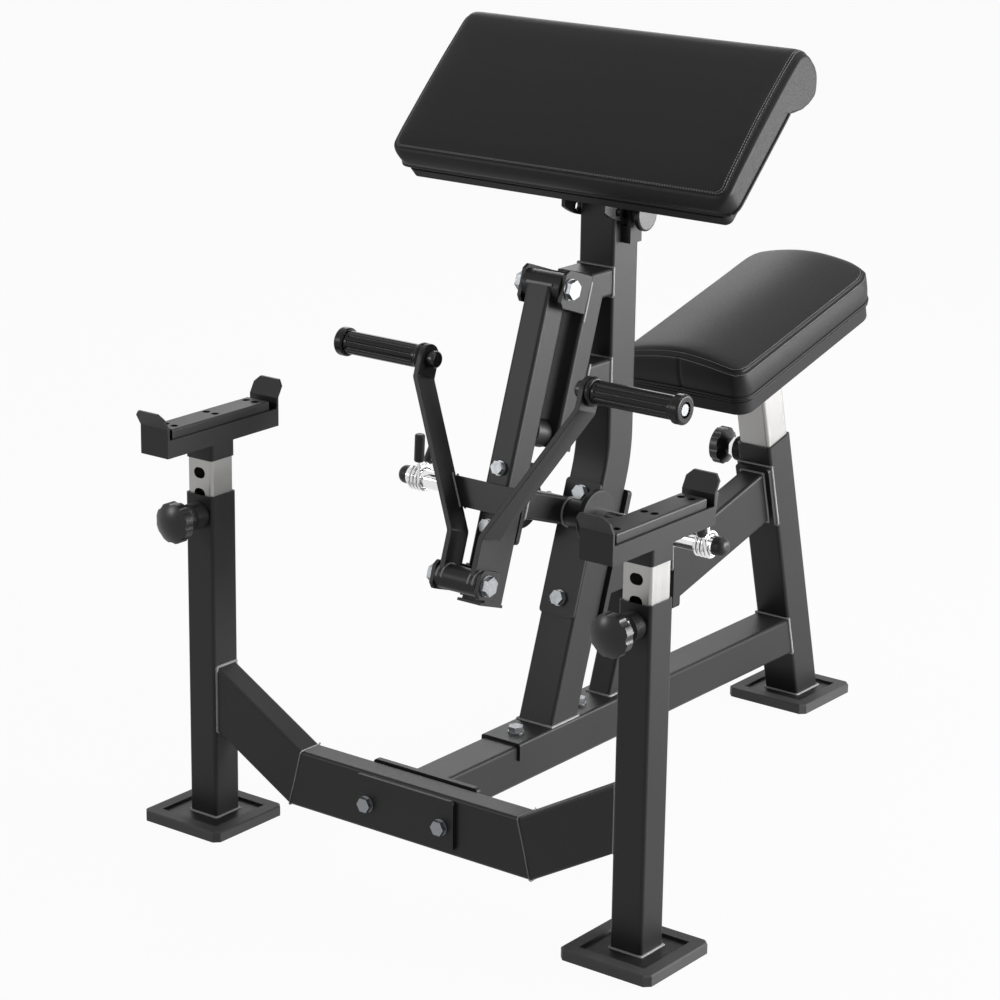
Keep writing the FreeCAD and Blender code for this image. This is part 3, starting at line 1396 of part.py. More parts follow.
def pin_collar(radius, length):
    return ring(radius, PIN_R + LOOSE_GAP, Vector(0, 0, 0), Z_AXIS, length)


def pin_nut(flats, start, length):
    nut = hexagon(flats, Z_AXIS * start, Z_AXIS, length)
    return nut.cut(rod(PIN_R + LOOSE_GAP, Z_AXIS * start, Z_AXIS, length))


def pin_collars():
    front = place_pin(pin_collar(PIN_COLLAR_R, PIN_COLLAR_LENGTH), front_pin_base(), -Y_AXIS)
    seat = place_pin(pin_collar(PIN_COLLAR_R, PIN_COLLAR_LENGTH), seat_pin_point(), -X_AXIS)
    pad = place_pin(pin_collar(PAD_PIN_COLLAR_R, PAD_PIN_COLLAR_LENGTH), pad_pin_base(), X_AXIS)
    return Part.makeCompound([front, mirror_x(front), seat, pad])


def pin_nuts():
    front = place_pin(pin_nut(PIN_NUT_FLATS, 0, PIN_NUT_LENGTH),
                      front_pin_base() - Y_AXIS * PIN_COLLAR_LENGTH, -Y_AXIS)
    seat = place_pin(pin_nut(PIN_NUT_FLATS, 0, PIN_NUT_LENGTH),
                     seat_pin_point() - X_AXIS * PIN_COLLAR_LENGTH, -X_AXIS)
    pad = place_pin(pin_nut(PAD_PIN_NUT_FLATS, 0, PAD_PIN_NUT_LENGTH),
                    pad_pin_base() + X_AXIS * PAD_PIN_COLLAR_LENGTH, X_AXIS)
    return Part.makeCompound([front, mirror_x(front), seat, pad])


def scalloped_knob(nose):
    """Domed knob with finger scallops on its plunger; the nose lies below Z = 0."""
    rim_end = KNOB_RIM_START + KNOB_RIM_LENGTH
    dome_radius = (KNOB_R * KNOB_R + KNOB_DOME * KNOB_DOME) / (2 * KNOB_DOME)
    dome_centre = Z_AXIS * (rim_end + KNOB_DOME - dome_radius)
    hub = Part.makeCone(KNOB_HUB_R, KNOB_R, KNOB_RIM_START - KNOB_START, Z_AXIS * KNOB_START, Z_AXIS)
    rim = rod(KNOB_R, Z_AXIS * KNOB_RIM_START, Z_AXIS, KNOB_RIM_LENGTH)
    dome = trim(Part.makeSphere(dome_radius, dome_centre), Z_AXIS * rim_end, -Z_AXIS)
    cap = hub.fuse([rim, dome])
    reach = KNOB_R + KNOB_SCALLOP_R - KNOB_SCALLOP_DEPTH
    scallops = []
    for index in range(KNOB_SCALLOPS):
        angle = 2 * math.pi * index / KNOB_SCALLOPS
        base = Vector(reach * math.cos(angle), reach * math.sin(angle), KNOB_START)
        scallops.append(rod(KNOB_SCALLOP_R, base, Z_AXIS, KNOB_R))
    plunger = rod(PIN_R, Z_AXIS * -nose, Z_AXIS, nose + KNOB_RIM_START)
    return cap.cut(scallops).fuse(plunger)


def disc_knob(nose):
    cap = rod(PAD_KNOB_R, Z_AXIS * PAD_KNOB_START, Z_AXIS, PAD_KNOB_LENGTH)
    cap = cap.makeFillet(PAD_KNOB_ROUND, [edge for edge in cap.Edges if isinstance(edge.Curve, Part.Circle)])
    plunger = rod(PIN_R, Z_AXIS * -nose, Z_AXIS, nose + PAD_KNOB_START + PAD_KNOB_ROUND)
    return cap.fuse(plunger)


def rest_pin():
    nose = (POST_SIZE - REST_TUBE_SIZE) / 2 - NOSE_GAP
    return place_pin(scalloped_knob(nose), front_pin_base(), -Y_AXIS)


def seat_pin():
    nose = (REAR_POST_SIZE - SEAT_TUBE_SIZE) / 2 - NOSE_GAP
    return place_pin(scalloped_knob(nose), seat_pin_point(), -X_AXIS)


def pad_pin():
    nose = carrier_outer() - CHEEK_OUTER - NOSE_GAP
    return place_pin(disc_knob(nose), pad_pin_base(), X_AXIS)


# Seat

def seat_placement():
    """Seat frame: local X across, Y to the rear along the slope, Z square to the deck."""
    return Placement(SEAT_DECK, Rotation(X_AXIS, REAR_LEAN_DEG))


def seat_outline(inset, height):
    """Seat outline with tighter front corners than rear corners, at a height over the deck."""
    half = SEAT_WIDTH / 2 - inset
    length = SEAT_LENGTH / 2 - inset
    front = max(SEAT_FRONT_RADIUS - inset / 2, PLATE_CORNER)
    rear = max(SEAT_REAR_RADIUS - inset / 2, PLATE_CORNER)

    def corner(side_x, side_y, radius):
        tip = Vector(side_x * half, side_y * length, height)
        on_side = tip - Y_AXIS * (side_y * radius)
        on_end = tip - X_AXIS * (side_x * radius)
        middle = tip - Vector(side_x, side_y, 0) * (radius * ARC_MIDDLE)
        return on_side, middle, on_end

    rear_right = corner(1, 1, rear)
    rear_left = tuple(reversed(corner(-1, 1, rear)))
    front_left = corner(-1, -1, front)
    front_right = tuple(reversed(corner(1, -1, front)))
    corners = (rear_right, rear_left, front_left, front_right)
    edges = []
    for index, points in enumerate(corners):
        edges.append(Part.Arc(*points).toShape())
        edges.append(Part.makeLine(points[2], corners[(index + 1) % 4][0]))
    return Part.Wire(edges)


def seat_cushion():
    band = Part.makeLoft([
        seat_outline(SEAT_BULGE, 0),
        seat_outline(0, SEAT_BAND / 2),
        seat_outline(SEAT_SEAM_INSET, SEAT_BAND),
    ], True, False)
    steps = [seat_outline(SEAT_SEAM_INSET, SEAT_BAND)]
    for inset, share in SEAT_CROWN_STEPS:
        steps.append(seat_outline(inset, SEAT_BAND + SEAT_CROWN * share))
    cushion = band.fuse(Part.makeLoft(steps, True, False))
    cushion.Placement = seat_placement()
    return cushion


def seat_board():
    low = -SEAT_BOARD_THICK
    board = Part.Face(seat_outline(SEAT_BOARD_INSET, low)).extrude(Z_AXIS * SEAT_BOARD_THICK)
    board.Placement = seat_placement()
    return board


def seat_tube():
    """Inner tube with the plate that carries the seat board."""
    under_board = SEAT_DECK - REAR_UP * SEAT_BOARD_THICK
    under_plate = under_board - REAR_UP * SEAT_PLATE_THICK
    bottom = REAR_TOP - REAR_UP * SEAT_TUBE_INSIDE
    body = tube(SEAT_TUBE_SIZE, SEAT_TUBE_SIZE, SEAT_TUBE_WALL, bottom, under_plate)
    face = REAR_TOP - REAR_UP * SEAT_PIN_BELOW_TOP - X_AXIS * (SEAT_TUBE_SIZE / 2)
    for step in range(-SEAT_HOLES_BELOW, SEAT_HOLES_ABOVE + 1):
        centre = face + REAR_UP * (step * HOLE_PITCH)
        body = body.cut(oblong_hole(centre, REAR_BACK, REAR_UP, X_AXIS, 4 * SEAT_TUBE_WALL))
    plate = rounded_plate(SEAT_PLATE_WIDTH, SEAT_PLATE_LENGTH, SEAT_PLATE_THICK, PLATE_CORNER, under_plate,
                          REAR_UP)
    return body.fuse(plate)


# Arm pad

def pad_point(x, along, depth):
    """Point from its place across, up the slope and into the pad."""
    return PAD_CORNER + PAD_UP * along + PAD_IN * depth + X_AXIS * x


def pad_section(x, draw, crown):
    """Side outline of the pad at one place across, drawn in from the full form."""
    back = PAD_BAND

    def at(along, depth):
        return pad_point(x, along, depth)

    heel = at(draw + PAD_EDGE_ROUND / 2, back)
    toe = at(draw, back - PAD_EDGE_ROUND)
    edge_middle = at(draw + PAD_EDGE_ROUND * ARC_MIDDLE, draw + PAD_EDGE_ROUND)
    face_low = at(draw + PAD_EDGE_ROUND, draw)
    face_middle = at(PAD_FACE_LENGTH / 2, draw - crown)
    face_high = at(PAD_FACE_LENGTH, draw - crown / 2)
    roll_front = at(PAD_ROLL_TOP - draw - PAD_EDGE_ROUND / 2, draw + PAD_EDGE_ROUND / 2)
    roll_top = at(PAD_ROLL_TOP - draw, PAD_ROLL_MID)
    roll_rear = at(PAD_ROLL_TOP - draw - PAD_ROLL_REAR_DROP, PAD_ROLL_BACK - draw - PAD_ROLL_REAR_DRAW)
    roll_back = at(PAD_ROLL_BACK_AT, PAD_ROLL_BACK - draw)
    roll_under = at((PAD_ROLL_BACK_AT + PAD_CREASE_AT) / 2,
                    back + (PAD_ROLL_BACK - draw - back) * PAD_ROLL_UNDER_SHARE)
    crease = at(PAD_CREASE_AT, back)
    return Part.Wire([
        Part.makeLine(heel, toe),
        Part.Arc(toe, edge_middle, face_low).toShape(),
        Part.Arc(face_low, face_middle, face_high).toShape(),
        Part.Arc(face_high, roll_front, roll_top).toShape(),
        Part.Arc(roll_top, roll_rear, roll_back).toShape(),
        Part.Arc(roll_back, roll_under, crease).toShape(),
        Part.makeLine(crease, heel),
    ])


def pad_cushion():
    """Sloping cushion with a crowned face, a rolled top and drawn-in sides."""
    flat_end = PAD_HALF_WIDTH - PAD_SIDE_ROUND
    shoulder = PAD_HALF_WIDTH - PAD_SIDE_ROUND / 2
    sections = [
        pad_section(-PAD_HALF_WIDTH, PAD_SIDE_DRAW, PAD_CROWN / 2),
        pad_section(-shoulder, PAD_SHOULDER_DRAW, PAD_SHOULDER_CROWN),
        pad_section(-flat_end, 0, PAD_CROWN),
        pad_section(flat_end, 0, PAD_CROWN),
        pad_section(shoulder, PAD_SHOULDER_DRAW, PAD_SHOULDER_CROWN),
        pad_section(PAD_HALF_WIDTH, PAD_SIDE_DRAW, PAD_CROWN / 2),
    ]
    return Part.makeLoft(sections, True, True)


def pad_board():
    middle = pad_point(0, PAD_BOARD_INSET + PAD_BOARD_LENGTH / 2, PAD_BAND)
    return rounded_plate(2 * PAD_BOARD_HALF, PAD_BOARD_LENGTH, PAD_BOARD_THICK, PAD_BOARD_CORNER, middle,
                         PAD_IN)


def board_back():
    return PAD_BAND + PAD_BOARD_THICK


def hinge_along():
    """Place of the hinge up the slope of the pad."""
    return (HINGE - PAD_CORNER).dot(PAD_UP)


def cheek():
    """Quadrant plate with a row of lock holes on an arc about the hinge."""
    start = HINGE + X_AXIS * CHEEK_INNER
    under_base = (HINGE - PAD_CORNER).dot(PAD_IN) - board_back() - CHEEK_BASE_THICK
    sweep = math.radians(CHEEK_SWEEP_DEG / 2)

    def on_arc(turn):
        return start + Vector(0, math.sin(turn), -math.cos(turn)) * CHEEK_R

    left = on_arc(-sweep)
    right = on_arc(sweep)
    top_point = start - PAD_IN * under_base
    top_low = top_point - PAD_UP * CHEEK_BASE_BELOW
    top_high = top_point + PAD_UP * CHEEK_BASE_ABOVE
    outline = Part.Wire([
        Part.Arc(left, on_arc(0), right).toShape(),
        Part.makeLine(right, top_high),
        Part.makeLine(top_high, top_low),
        Part.makeLine(top_low, left),
    ])
    plate = Part.Face(outline).extrude(X_AXIS * CHEEK_THICK)
    for index in range(CHEEK_HOLE_COUNT):
        turn = math.radians((index - (CHEEK_HOLE_COUNT - 1) / 2) * CHEEK_HOLE_STEP_DEG)
        centre = start + Vector(0, math.sin(turn), -math.cos(turn)) * CHEEK_HOLE_RADIUS
        plate = plate.cut(rod(PIN_R + LOOSE_GAP, centre - X_AXIS * CHEEK_THICK, X_AXIS, 3 * CHEEK_THICK))
    return plate.cut(rod(HINGE_BOLT_R + RUNNING_GAP, start - X_AXIS * CHEEK_THICK, X_AXIS, 3 * CHEEK_THICK))


def pad_bracket():
    """Base plate under the board with the two cheeks of the tilt hinge."""
    length = CHEEK_BASE_BELOW + CHEEK_BASE_ABOVE
    middle = pad_point(0, hinge_along() + CHEEK_BASE_ABOVE - length / 2, board_back())
    base = rounded_plate(CHEEK_BASE_WIDTH, length, CHEEK_BASE_THICK, PLATE_CORNER, middle, PAD_IN)
    side = cheek()
    return base.fuse([side, mirror_x(side)])


def mast_head():
    """Sleeve and web on top of the mast that carry the tilt hinge."""
    half = MAST_SIZE / 2
    sleeve = rod_between_sides(HINGE_SLEEVE_R, half, HINGE)
    web = box(Vector(-half + HEAD_PLATE_THICK, HINGE.y - HEAD_WEB_DEPTH / 2, MAST_TOP + HEAD_PLATE_THICK),
              Vector(half - HEAD_PLATE_THICK, HINGE.y + HEAD_WEB_DEPTH / 2, HINGE.z))
    web = web.common(side_prism([
        (HINGE.y - HEAD_WEB_DEPTH / 2, MAST_TOP),
        (HINGE.y + HEAD_WEB_DEPTH / 2, MAST_TOP),
        (HINGE.y + HINGE_SLEEVE_R, HINGE.z),
        (HINGE.y - HINGE_SLEEVE_R, HINGE.z),
    ], half))
    lid_centre = Vector(0, MAST_UPRIGHT_Y + half, MAST_TOP)
    lid = rounded_plate(MAST_SIZE, MAST_SIZE, HEAD_PLATE_THICK, TUBE_CORNER, lid_centre, Z_AXIS)
    head = sleeve.fuse([web, lid])
    return head.cut(rod_between_sides(HINGE_BOLT_R + RUNNING_GAP, half, HINGE))


def pad_hinge_bolt():
    screw = bolt(HINGE_BOLT_R, HINGE_FLATS, X_AXIS * (CHEEK_OUTER + LOOSE_GAP), -X_AXIS,
                 2 * (CHEEK_OUTER + LOOSE_GAP))
    return screw.translated(HINGE)


def carrier_outer():
    return CHEEK_OUTER + CARRIER_GAP + CARRIER_THICK


def pad_pin_carrier():
    """Stepped bracket on the side of the mast that holds the pad pin outside the cheek."""
    half = CARRIER_DEPTH / 2
    y = HINGE.y
    inner = CHEEK_OUTER + CARRIER_GAP
    cheek_low = HINGE.z - CHEEK_R
    plate = box(Vector(inner, y - half, CARRIER_LOW), Vector(carrier_outer(), y + half, CARRIER_HIGH))

    def is_upper_corner(edge):
        return runs_along(edge, X_AXIS) and edge.BoundBox.ZMin > CARRIER_HIGH - WELD_GAP

    plate = fillet_where(plate, PLATE_CORNER, is_upper_corner)
    spacer = box(Vector(MAST_SIZE / 2, y - half, CARRIER_LOW),
                 Vector(inner, y + half, cheek_low - CARRIER_STEP))
    bracket = plate.fuse(spacer)
    return bracket.cut(rod(PIN_R + LOOSE_GAP, pad_pin_base() - X_AXIS * carrier_outer(), X_AXIS,
                           2 * carrier_outer()))


def save(name, solid):
    placed = solid.copy()
    placed.translate(ORIGIN * -1)
    for piece in placed.Solids:
        if not piece.isValid() or piece.Volume <= 0:
            print("check this solid:", name)
    placed.exportStep("parts/" + name + ".step")


def save_pair(name, right_solid):
    save(name + "_right", right_solid)
    save(name + "_left", mirror_x(right_solid))


def main():
    os.makedirs("parts", exist_ok=True)

    save("rubber_feet", rubber_feet())
    save("front_posts", both_sides(front_post()))
    save("front_beam", front_beam())
    save("front_clamp_plate", front_clamp_plate())
    save("main_beam", main_beam())
    save("rear_post", rear_post())
    save("mast", mast())
    save("mast_saddle", mast_saddle())
    save("mast_brace", mast_brace())
    save("mast_front_plate", mast_front_plate())
    save("link_bracket", link_bracket())
    save("link_beam", link_beam())
    save("frame_bolts", frame_bolts())
    save("stop_rail", stop_rail())
    save("rail_stubs", rail_stubs())
    save("rail_clevis", rail_clevis())
    save("arm_bumper", arm_bumper())
    save("arm_pivot_bolt", arm_pivot_bolt())
    save("pin_collars", pin_collars())
    save("pin_nuts", pin_nuts())
    save("mast_head", mast_head())
    save("pad_hinge_bolt", pad_hinge_bolt())
    save("pad_pin_carrier", pad_pin_carrier())

    save("arm_sleeve", arm_sleeve())
    save("arm_tube", arm_tube())
    save("arm_bracket", arm_bracket())
    save("arm_bolts", arm_bolts())
    save("weight_axle", weight_axle())
    save("weight_sleeves", weight_sleeves())
    save("sleeve_caps", sleeve_caps())
    save("arm_clevis", arm_clevis())
    save("yoke_pivot_bolt", yoke_pivot_bolt())

    save("yoke_sleeve", yoke_sleeve())
    save("yoke_levers", yoke_levers())
    save("yoke_crossbar", yoke_crossbar())
    save("yoke_rest_pad", yoke_rest_pad())
    save("grip_bolts", grip_bolts())
    save("grip_cap_nuts", grip_cap_nuts())
    save_pair("hand_grip", lean_arm(hand_grip()))

    collar = spring_collar()
    save("spring_collar_right", lean_arm(same_hand(collar)))
    save("spring_collar_left", lean_arm(mirror_x(collar)))
    grips = collar_grips()
    save("collar_grips_right", lean_arm(same_hand(grips)))
    save("collar_grips_left", lean_arm(mirror_x(grips)))

    save_pair("rest_tube", rest_tube())
    save_pair("rest_tray", rest_tray())
    save_pair("rest_block", rest_block())
    save_pair("rest_pin", rest_pin())

    save("seat_tube", seat_tube())
    save("seat_board", seat_board())
    save("seat_cushion", seat_cushion())
    save("seat_pin", seat_pin())

    save("pad_cushion", pad_cushion())
    save("pad_board", pad_board())
    save("pad_bracket", pad_bracket())
    save("pad_pin", pad_pin())


main()
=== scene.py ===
"""Looks of the preacher curl bench: finishes, upholstery, welds, threads, stage and camera."""
import json
import math

import bmesh
import bpy
import numpy as np
from bpy.props import FloatProperty, FloatVectorProperty, PointerProperty
from mathutils import Matrix, Vector
from mathutils.bvhtree import BVHTree


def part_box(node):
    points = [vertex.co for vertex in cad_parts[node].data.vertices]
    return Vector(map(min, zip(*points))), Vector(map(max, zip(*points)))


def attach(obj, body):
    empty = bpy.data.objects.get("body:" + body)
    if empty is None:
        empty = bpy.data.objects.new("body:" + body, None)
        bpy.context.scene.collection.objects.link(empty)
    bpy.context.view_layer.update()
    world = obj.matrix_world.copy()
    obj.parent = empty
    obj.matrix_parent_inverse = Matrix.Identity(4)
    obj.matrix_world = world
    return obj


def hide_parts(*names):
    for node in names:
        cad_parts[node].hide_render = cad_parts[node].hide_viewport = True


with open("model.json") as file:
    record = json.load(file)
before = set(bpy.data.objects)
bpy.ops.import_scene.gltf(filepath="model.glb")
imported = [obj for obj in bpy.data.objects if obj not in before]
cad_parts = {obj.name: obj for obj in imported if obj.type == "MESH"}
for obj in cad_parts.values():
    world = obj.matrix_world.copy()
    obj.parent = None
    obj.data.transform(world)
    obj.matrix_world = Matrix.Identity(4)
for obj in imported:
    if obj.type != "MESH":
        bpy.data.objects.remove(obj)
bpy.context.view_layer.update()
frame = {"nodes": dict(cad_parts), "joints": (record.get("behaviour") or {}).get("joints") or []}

bl_info = {
    "name": "Preacher curl bench",
    "version": (1, 0, 0),
    "blender": (4, 5, 0),
    "location": "View3D > Sidebar > Bench",
    "description": "Finishes and upholstery for a plate-loaded preacher curl bench",
    "category": "Object",
}

MM = 0.001

# Camera of the photograph
CAMERA_PLACE = Vector((2.43007, -3.48589, 1.71482))
CAMERA_AZIMUTH = math.radians(37.09)
CAMERA_ELEVATION = math.radians(16.74)
CAMERA_ROLL = math.radians(0.81)
CAMERA_ANGLE = math.radians(18.43)

# Plane of the front posts, which the sizes in millimetres below are taken from
POSTS_Y = -452.096

# Slopes of the bench
ARM_LEAN = math.radians(18.5)
PAD_TILT = math.radians(44.4)

# Upholstery sizes, which match the solids but for the rounder corners of the pad
SEAT_LENGTH = 390 * MM
SEAT_WIDTH = 224 * MM
SEAT_FRONT_RADIUS = 25 * MM
SEAT_REAR_RADIUS = 50 * MM
SEAT_BAND = 52 * MM
SEAT_CROWN = 16 * MM
SEAT_BOARD = 19 * MM
PAD_HALF_WIDTH = 284 * MM
PAD_CORNER = 24 * MM
PAD_BAND = 44 * MM
PAD_BOARD = 15 * MM
PAD_BOARD_MIDDLE = 90.5 * MM
PAD_ROLL_TOP = 267 * MM
PAD_ROLL_MID = 32 * MM
PAD_ROLL_BACK = 80 * MM
PAD_ROLL_BACK_AT = 234 * MM
PAD_CREASE_AT = 180 * MM
PAD_HEEL = 12 * MM
PAD_FACE_END = (240 * MM, -3 * MM)

# Covers: mesh size, how much smaller they start and the cloth run that swells them
SEAT_VOXEL = 4 * MM
PAD_VOXEL = 4.5 * MM
COVER_SHRINK = 2 * MM
SWELL_CAP = 1.7 * COVER_SHRINK
SWELL_PRESSURE = 4.0
SWELL_FRAMES = 20
COVER_STIFFNESS = 25

# Seams, stitches and piping
SEAT_SEAM_WIDTH = 2.2 * MM
PAD_SEAM_WIDTH = 2.4 * MM
STITCH_RADIUS = 0.42 * MM
STITCH_LIFT = 0.15 * MM
PIPING_RADIUS = 2.2 * MM
PIPING_LIFT = 0.3 * MM
CORNER_STEPS = 14

# Steel in millimetres, for the welds and threads at its joints
POST_OFFSET = 368
POST_TUBE = 50
FRAME_TUBE = 60
BRACE_TUBE = 40
REAR_POST_CUT = 62
MAST_CUT = 63.3
BRACE_CUT = 42.2
BASE_TOP = 11
SADDLE_TOP = 151.5
BEAM_MIDDLE = 117.5
LINK_MIDDLE = 338
MITRE_TOP = (187.6, 149)
MITRE_BOTTOM = (209.7, 65)
AXLE_DOWN = 299
AXLE_BACK = 136.5
AXLE_HALF = 59
AXLE_RADIUS = 20
YOKE_DOWN = 415
YOKE_FORWARD = 55
YOKE_SLEEVE_RADIUS = 18
REST_PIN_HEIGHT = 458
THREAD_ENDS = (1, 19)
THREAD_PITCH = 2.2
THREAD_RADIUS = 18.3
RIDGE_RADIUS = 0.9

# Stage, with lengths in metres
FLOOR_HALF = 12.0
FLOOR_DROP = 0.4 * MM
FLOOR_GREY = 0.45
FLOOR_WHITE_SHARE = 0.95
FILL_LIGHT = 0.2
WHITE = (1, 1, 1, 1)

# Nodes by finish
SHARP_PLATES = (
    "front_clamp_plate", "mast_front_plate", "link_bracket", "rail_clevis", "arm_clevis", "yoke_levers",
    "yoke_crossbar", "arm_bracket", "rest_tray_right", "rest_tray_left", "pad_bracket", "main_beam",
    "link_beam",
)
POWDER_COATED = (
    "front_posts", "front_beam", "front_clamp_plate", "main_beam", "rear_post", "mast", "mast_saddle",
    "mast_brace", "mast_front_plate", "link_bracket", "link_beam", "stop_rail", "rail_stubs",
    "rail_clevis", "pin_collars", "mast_head", "pad_pin_carrier", "arm_sleeve", "arm_tube",
    "arm_bracket", "weight_axle", "arm_clevis", "yoke_sleeve", "yoke_levers", "yoke_crossbar",
    "pad_bracket", "rest_tray_right", "rest_tray_left",
)
RUBBERS = ("rubber_feet",)
GRIPS = ("hand_grip_right", "hand_grip_left")
SATIN_PLASTICS = ("collar_grips_right", "collar_grips_left", "rest_block_right", "rest_block_left",
                  "arm_bumper", "yoke_rest_pad", "sleeve_caps")
GLOSS_PLASTICS = ("rest_pin_right", "rest_pin_left", "seat_pin", "pad_pin", "grip_cap_nuts")
CHROMES = ("weight_sleeves", "spring_collar_right", "spring_collar_left", "pin_nuts")
ZINCS = ("frame_bolts", "arm_bolts", "arm_pivot_bolt", "yoke_pivot_bolt", "grip_bolts", "pad_hinge_bolt")
BOARDS = ("seat_board", "pad_board")


# Shader sockets that take arithmetic

class Value:
    """A shader socket wrapped so that Python expressions add Math nodes."""

    def __init__(self, finish, socket):
        self.finish = finish
        self.socket = socket

    def __add__(self, other):
        return self.finish.maths("ADD", self, other)

    def __radd__(self, other):
        return self.finish.maths("ADD", other, self)

    def __mul__(self, other):
        return self.finish.maths("MULTIPLY", self, other)

    def __rmul__(self, other):
        return self.finish.maths("MULTIPLY", other, self)


class Finish:
    """One material and the nodes that make it."""

    def __init__(self, name, constants):
        self.material = bpy.data.materials.new(name)
        self.material.use_nodes = True
        self.tree = self.material.node_tree
        self.surface = self.tree.nodes["Principled BSDF"]
        for socket, value in constants.items():
            self.surface.inputs[socket].default_value = value

    def feed(self, socket, value):
        if isinstance(value, Value):
            self.tree.links.new(value.socket, socket)
        else:
            socket.default_value = value

    def node(self, kind, settings, sockets, output=0):
        made = self.tree.nodes.new(kind)
        for key, value in settings.items():
            setattr(made, key, value)
        for key, value in sockets.items():
            self.feed(made.inputs[key], value)
        return Value(self, made.outputs[output])

    def maths(self, operation, first, second):
        return self.node("ShaderNodeMath", {"operation": operation}, {0: first, 1: second})

    def place(self):
        return self.node("ShaderNodeTexCoord", {}, {}, "Object")

    def stretched(self, scale, turn):
        sockets = {"Vector": self.place(), "Rotation": turn, "Scale": scale}
        return self.node("ShaderNodeMapping", {}, sockets)

    def noise(self, scale, detail=2.0, where=None):
        sockets = {"Vector": where or self.place(), "Scale": scale, "Detail": detail}
        return self.node("ShaderNodeTexNoise", {}, sockets)

    def cells(self, scale):
        sockets = {"Vector": self.place(), "Scale": scale}
        return self.node("ShaderNodeTexVoronoi", {"feature": "F1"}, sockets)

    def mix(self, factor, first, second):
        return self.node("ShaderNodeMix", {"data_type": "RGBA"}, {0: factor, 6: first, 7: second}, 2)

    def bump(self, height, strength, distance):
        sockets = {"Height": height, "Strength": strength, "Distance": distance}
        self.feed(self.surface.inputs["Normal"], self.node("ShaderNodeBump", {}, sockets))

    def colour(self, value):
        self.feed(self.surface.inputs["Base Color"], value)

    def roughness(self, value):
        self.feed(self.surface.inputs["Roughness"], value)


def shaded(colour, share):
    return (colour[0] * share, colour[1] * share, colour[2] * share, 1.0)


def existing(name):
    return bpy.data.materials.get(name)


def powder_coat():
    """Black textured powder coat with the fine dimples of sprayed paint."""
    name = "powder_coat"
    if existing(name):
        return existing(name)
    look = bpy.context.scene.bench_looks
    finish = Finish(name, {"Specular IOR Level": look.coat_shine})
    dimples = finish.noise(look.coat_grain, 3.0)
    cloud = finish.noise(7.0)
    finish.colour(finish.mix(cloud, shaded(look.coat_colour, 0.8), shaded(look.coat_colour, 1.25)))
    finish.roughness(0.32 + 0.14 * dimples + 0.06 * cloud)
    finish.bump(dimples, 0.22, 0.35 * MM)
    return finish.material


def weld_metal():
    """Weld beads coloured light grey as a painted highlight for the glints on their ripples."""
    look = bpy.context.scene.bench_looks
    # The weld colour is a light grey, painted highlight for the glints on the beads
    return grained("weld_metal", look.weld_glint_colour, 0.28, 600.0, 0.15, {"Specular IOR Level": 0.5})


def brushed_steel(name, lean):
    """Steel brushed along the tube, which leans by an angle from upright."""
    if existing(name):
        return existing(name)
    look = bpy.context.scene.bench_looks
    finish = Finish(name, {"Metallic": 1.0})
    where = finish.stretched((900.0, 900.0, 6.0), (lean, 0.0, 0.0))
    lines = finish.noise(1.0, 4.0, where)
    patches = finish.noise(28.0, 3.0)
    tone = lines * 0.7 + patches * 0.3
    finish.colour(finish.mix(tone, shaded(look.steel_colour, 0.72), shaded(look.steel_colour, 1.08)))
    finish.roughness(0.24 + 0.2 * lines + 0.08 * patches)
    finish.bump(lines, 0.12, 0.15 * MM)
    return finish.material


def bright_metal(name, colour, polish, mottle):
    """Plated metal with faint handling marks."""
    if existing(name):
        return existing(name)
    finish = Finish(name, {"Metallic": 1.0})
    marks = finish.noise(mottle, 4.0)
    wide = finish.noise(35.0)
    finish.colour(finish.mix(marks, shaded(colour, 0.9), shaded(colour, 1.05)))
    finish.roughness(polish + polish * marks + 0.05 * wide)
    finish.bump(marks, 0.04, 0.1 * MM)
    return finish.material


def grained(name, colour, rough, grain, depth, constants):
    """Fine-grained finish, as on rubber, plastic, thread and weld beads."""
    if existing(name):
        return existing(name)
    finish = Finish(name, constants)
    fine = finish.noise(grain, 2.0)
    dust = finish.noise(14.0, 3.0)
    finish.colour(finish.mix(dust, shaded(colour, 0.75), shaded(colour, 1.3)))
    finish.roughness(rough + 0.1 * fine + 0.08 * dust)
    finish.bump(fine, depth, 0.3 * MM)
    return finish.material


def leatherette():
    """Black leatherette with pebbled grain and softer, duller hollows."""
    name = "leatherette"
    if existing(name):
        return existing(name)
    look = bpy.context.scene.bench_looks
    finish = Finish(name, {"Specular IOR Level": look.leather_shine})
    pebbles = finish.cells(look.leather_grain)
    creases = finish.noise(look.leather_grain * 0.45, 4.0)
    wide = finish.noise(6.0, 3.0)
    height = pebbles * -0.6 + creases * 0.5
    finish.colour(finish.mix(wide, shaded(look.leather_colour, 0.85), shaded(look.leather_colour, 1.2)))
    finish.roughness(0.36 + 0.16 * pebbles + 0.06 * wide)
    finish.bump(height, 0.32, 0.5 * MM)
    return finish.material


def grip_rubber():
    look = bpy.context.scene.bench_looks
    return grained("grip_rubber", look.knob_colour, 0.16, 900.0, 0.06, {"Specular IOR Level": 0.2})


def foot_rubber():
    look = bpy.context.scene.bench_looks
    return grained("foot_rubber", look.rubber_colour, 0.52, 700.0, 0.25, {"Specular IOR Level": 0.35})


def satin_plastic():
    look = bpy.context.scene.bench_looks
    return grained("satin_plastic", look.knob_colour, 0.34, 1100.0, 0.2, {"Specular IOR Level": 0.3})


def gloss_plastic():
    look = bpy.context.scene.bench_looks
    return grained("gloss_plastic", look.knob_colour, 0.22, 500.0, 0.08, {"Specular IOR Level": 0.35})


def board_cover():
    look = bpy.context.scene.bench_looks
    return grained("board_cover", look.knob_colour, 0.6, 1300.0, 0.4, {"Specular IOR Level": 0.25})


# The thread colour is light grey, partly the thread's tone and partly painted highlight for the glints on
# the stitches
def sewing_thread():
    look = bpy.context.scene.bench_looks
    return grained("sewing_thread", look.thread_and_glint_colour, 0.55, 2500.0, 0.3, {})


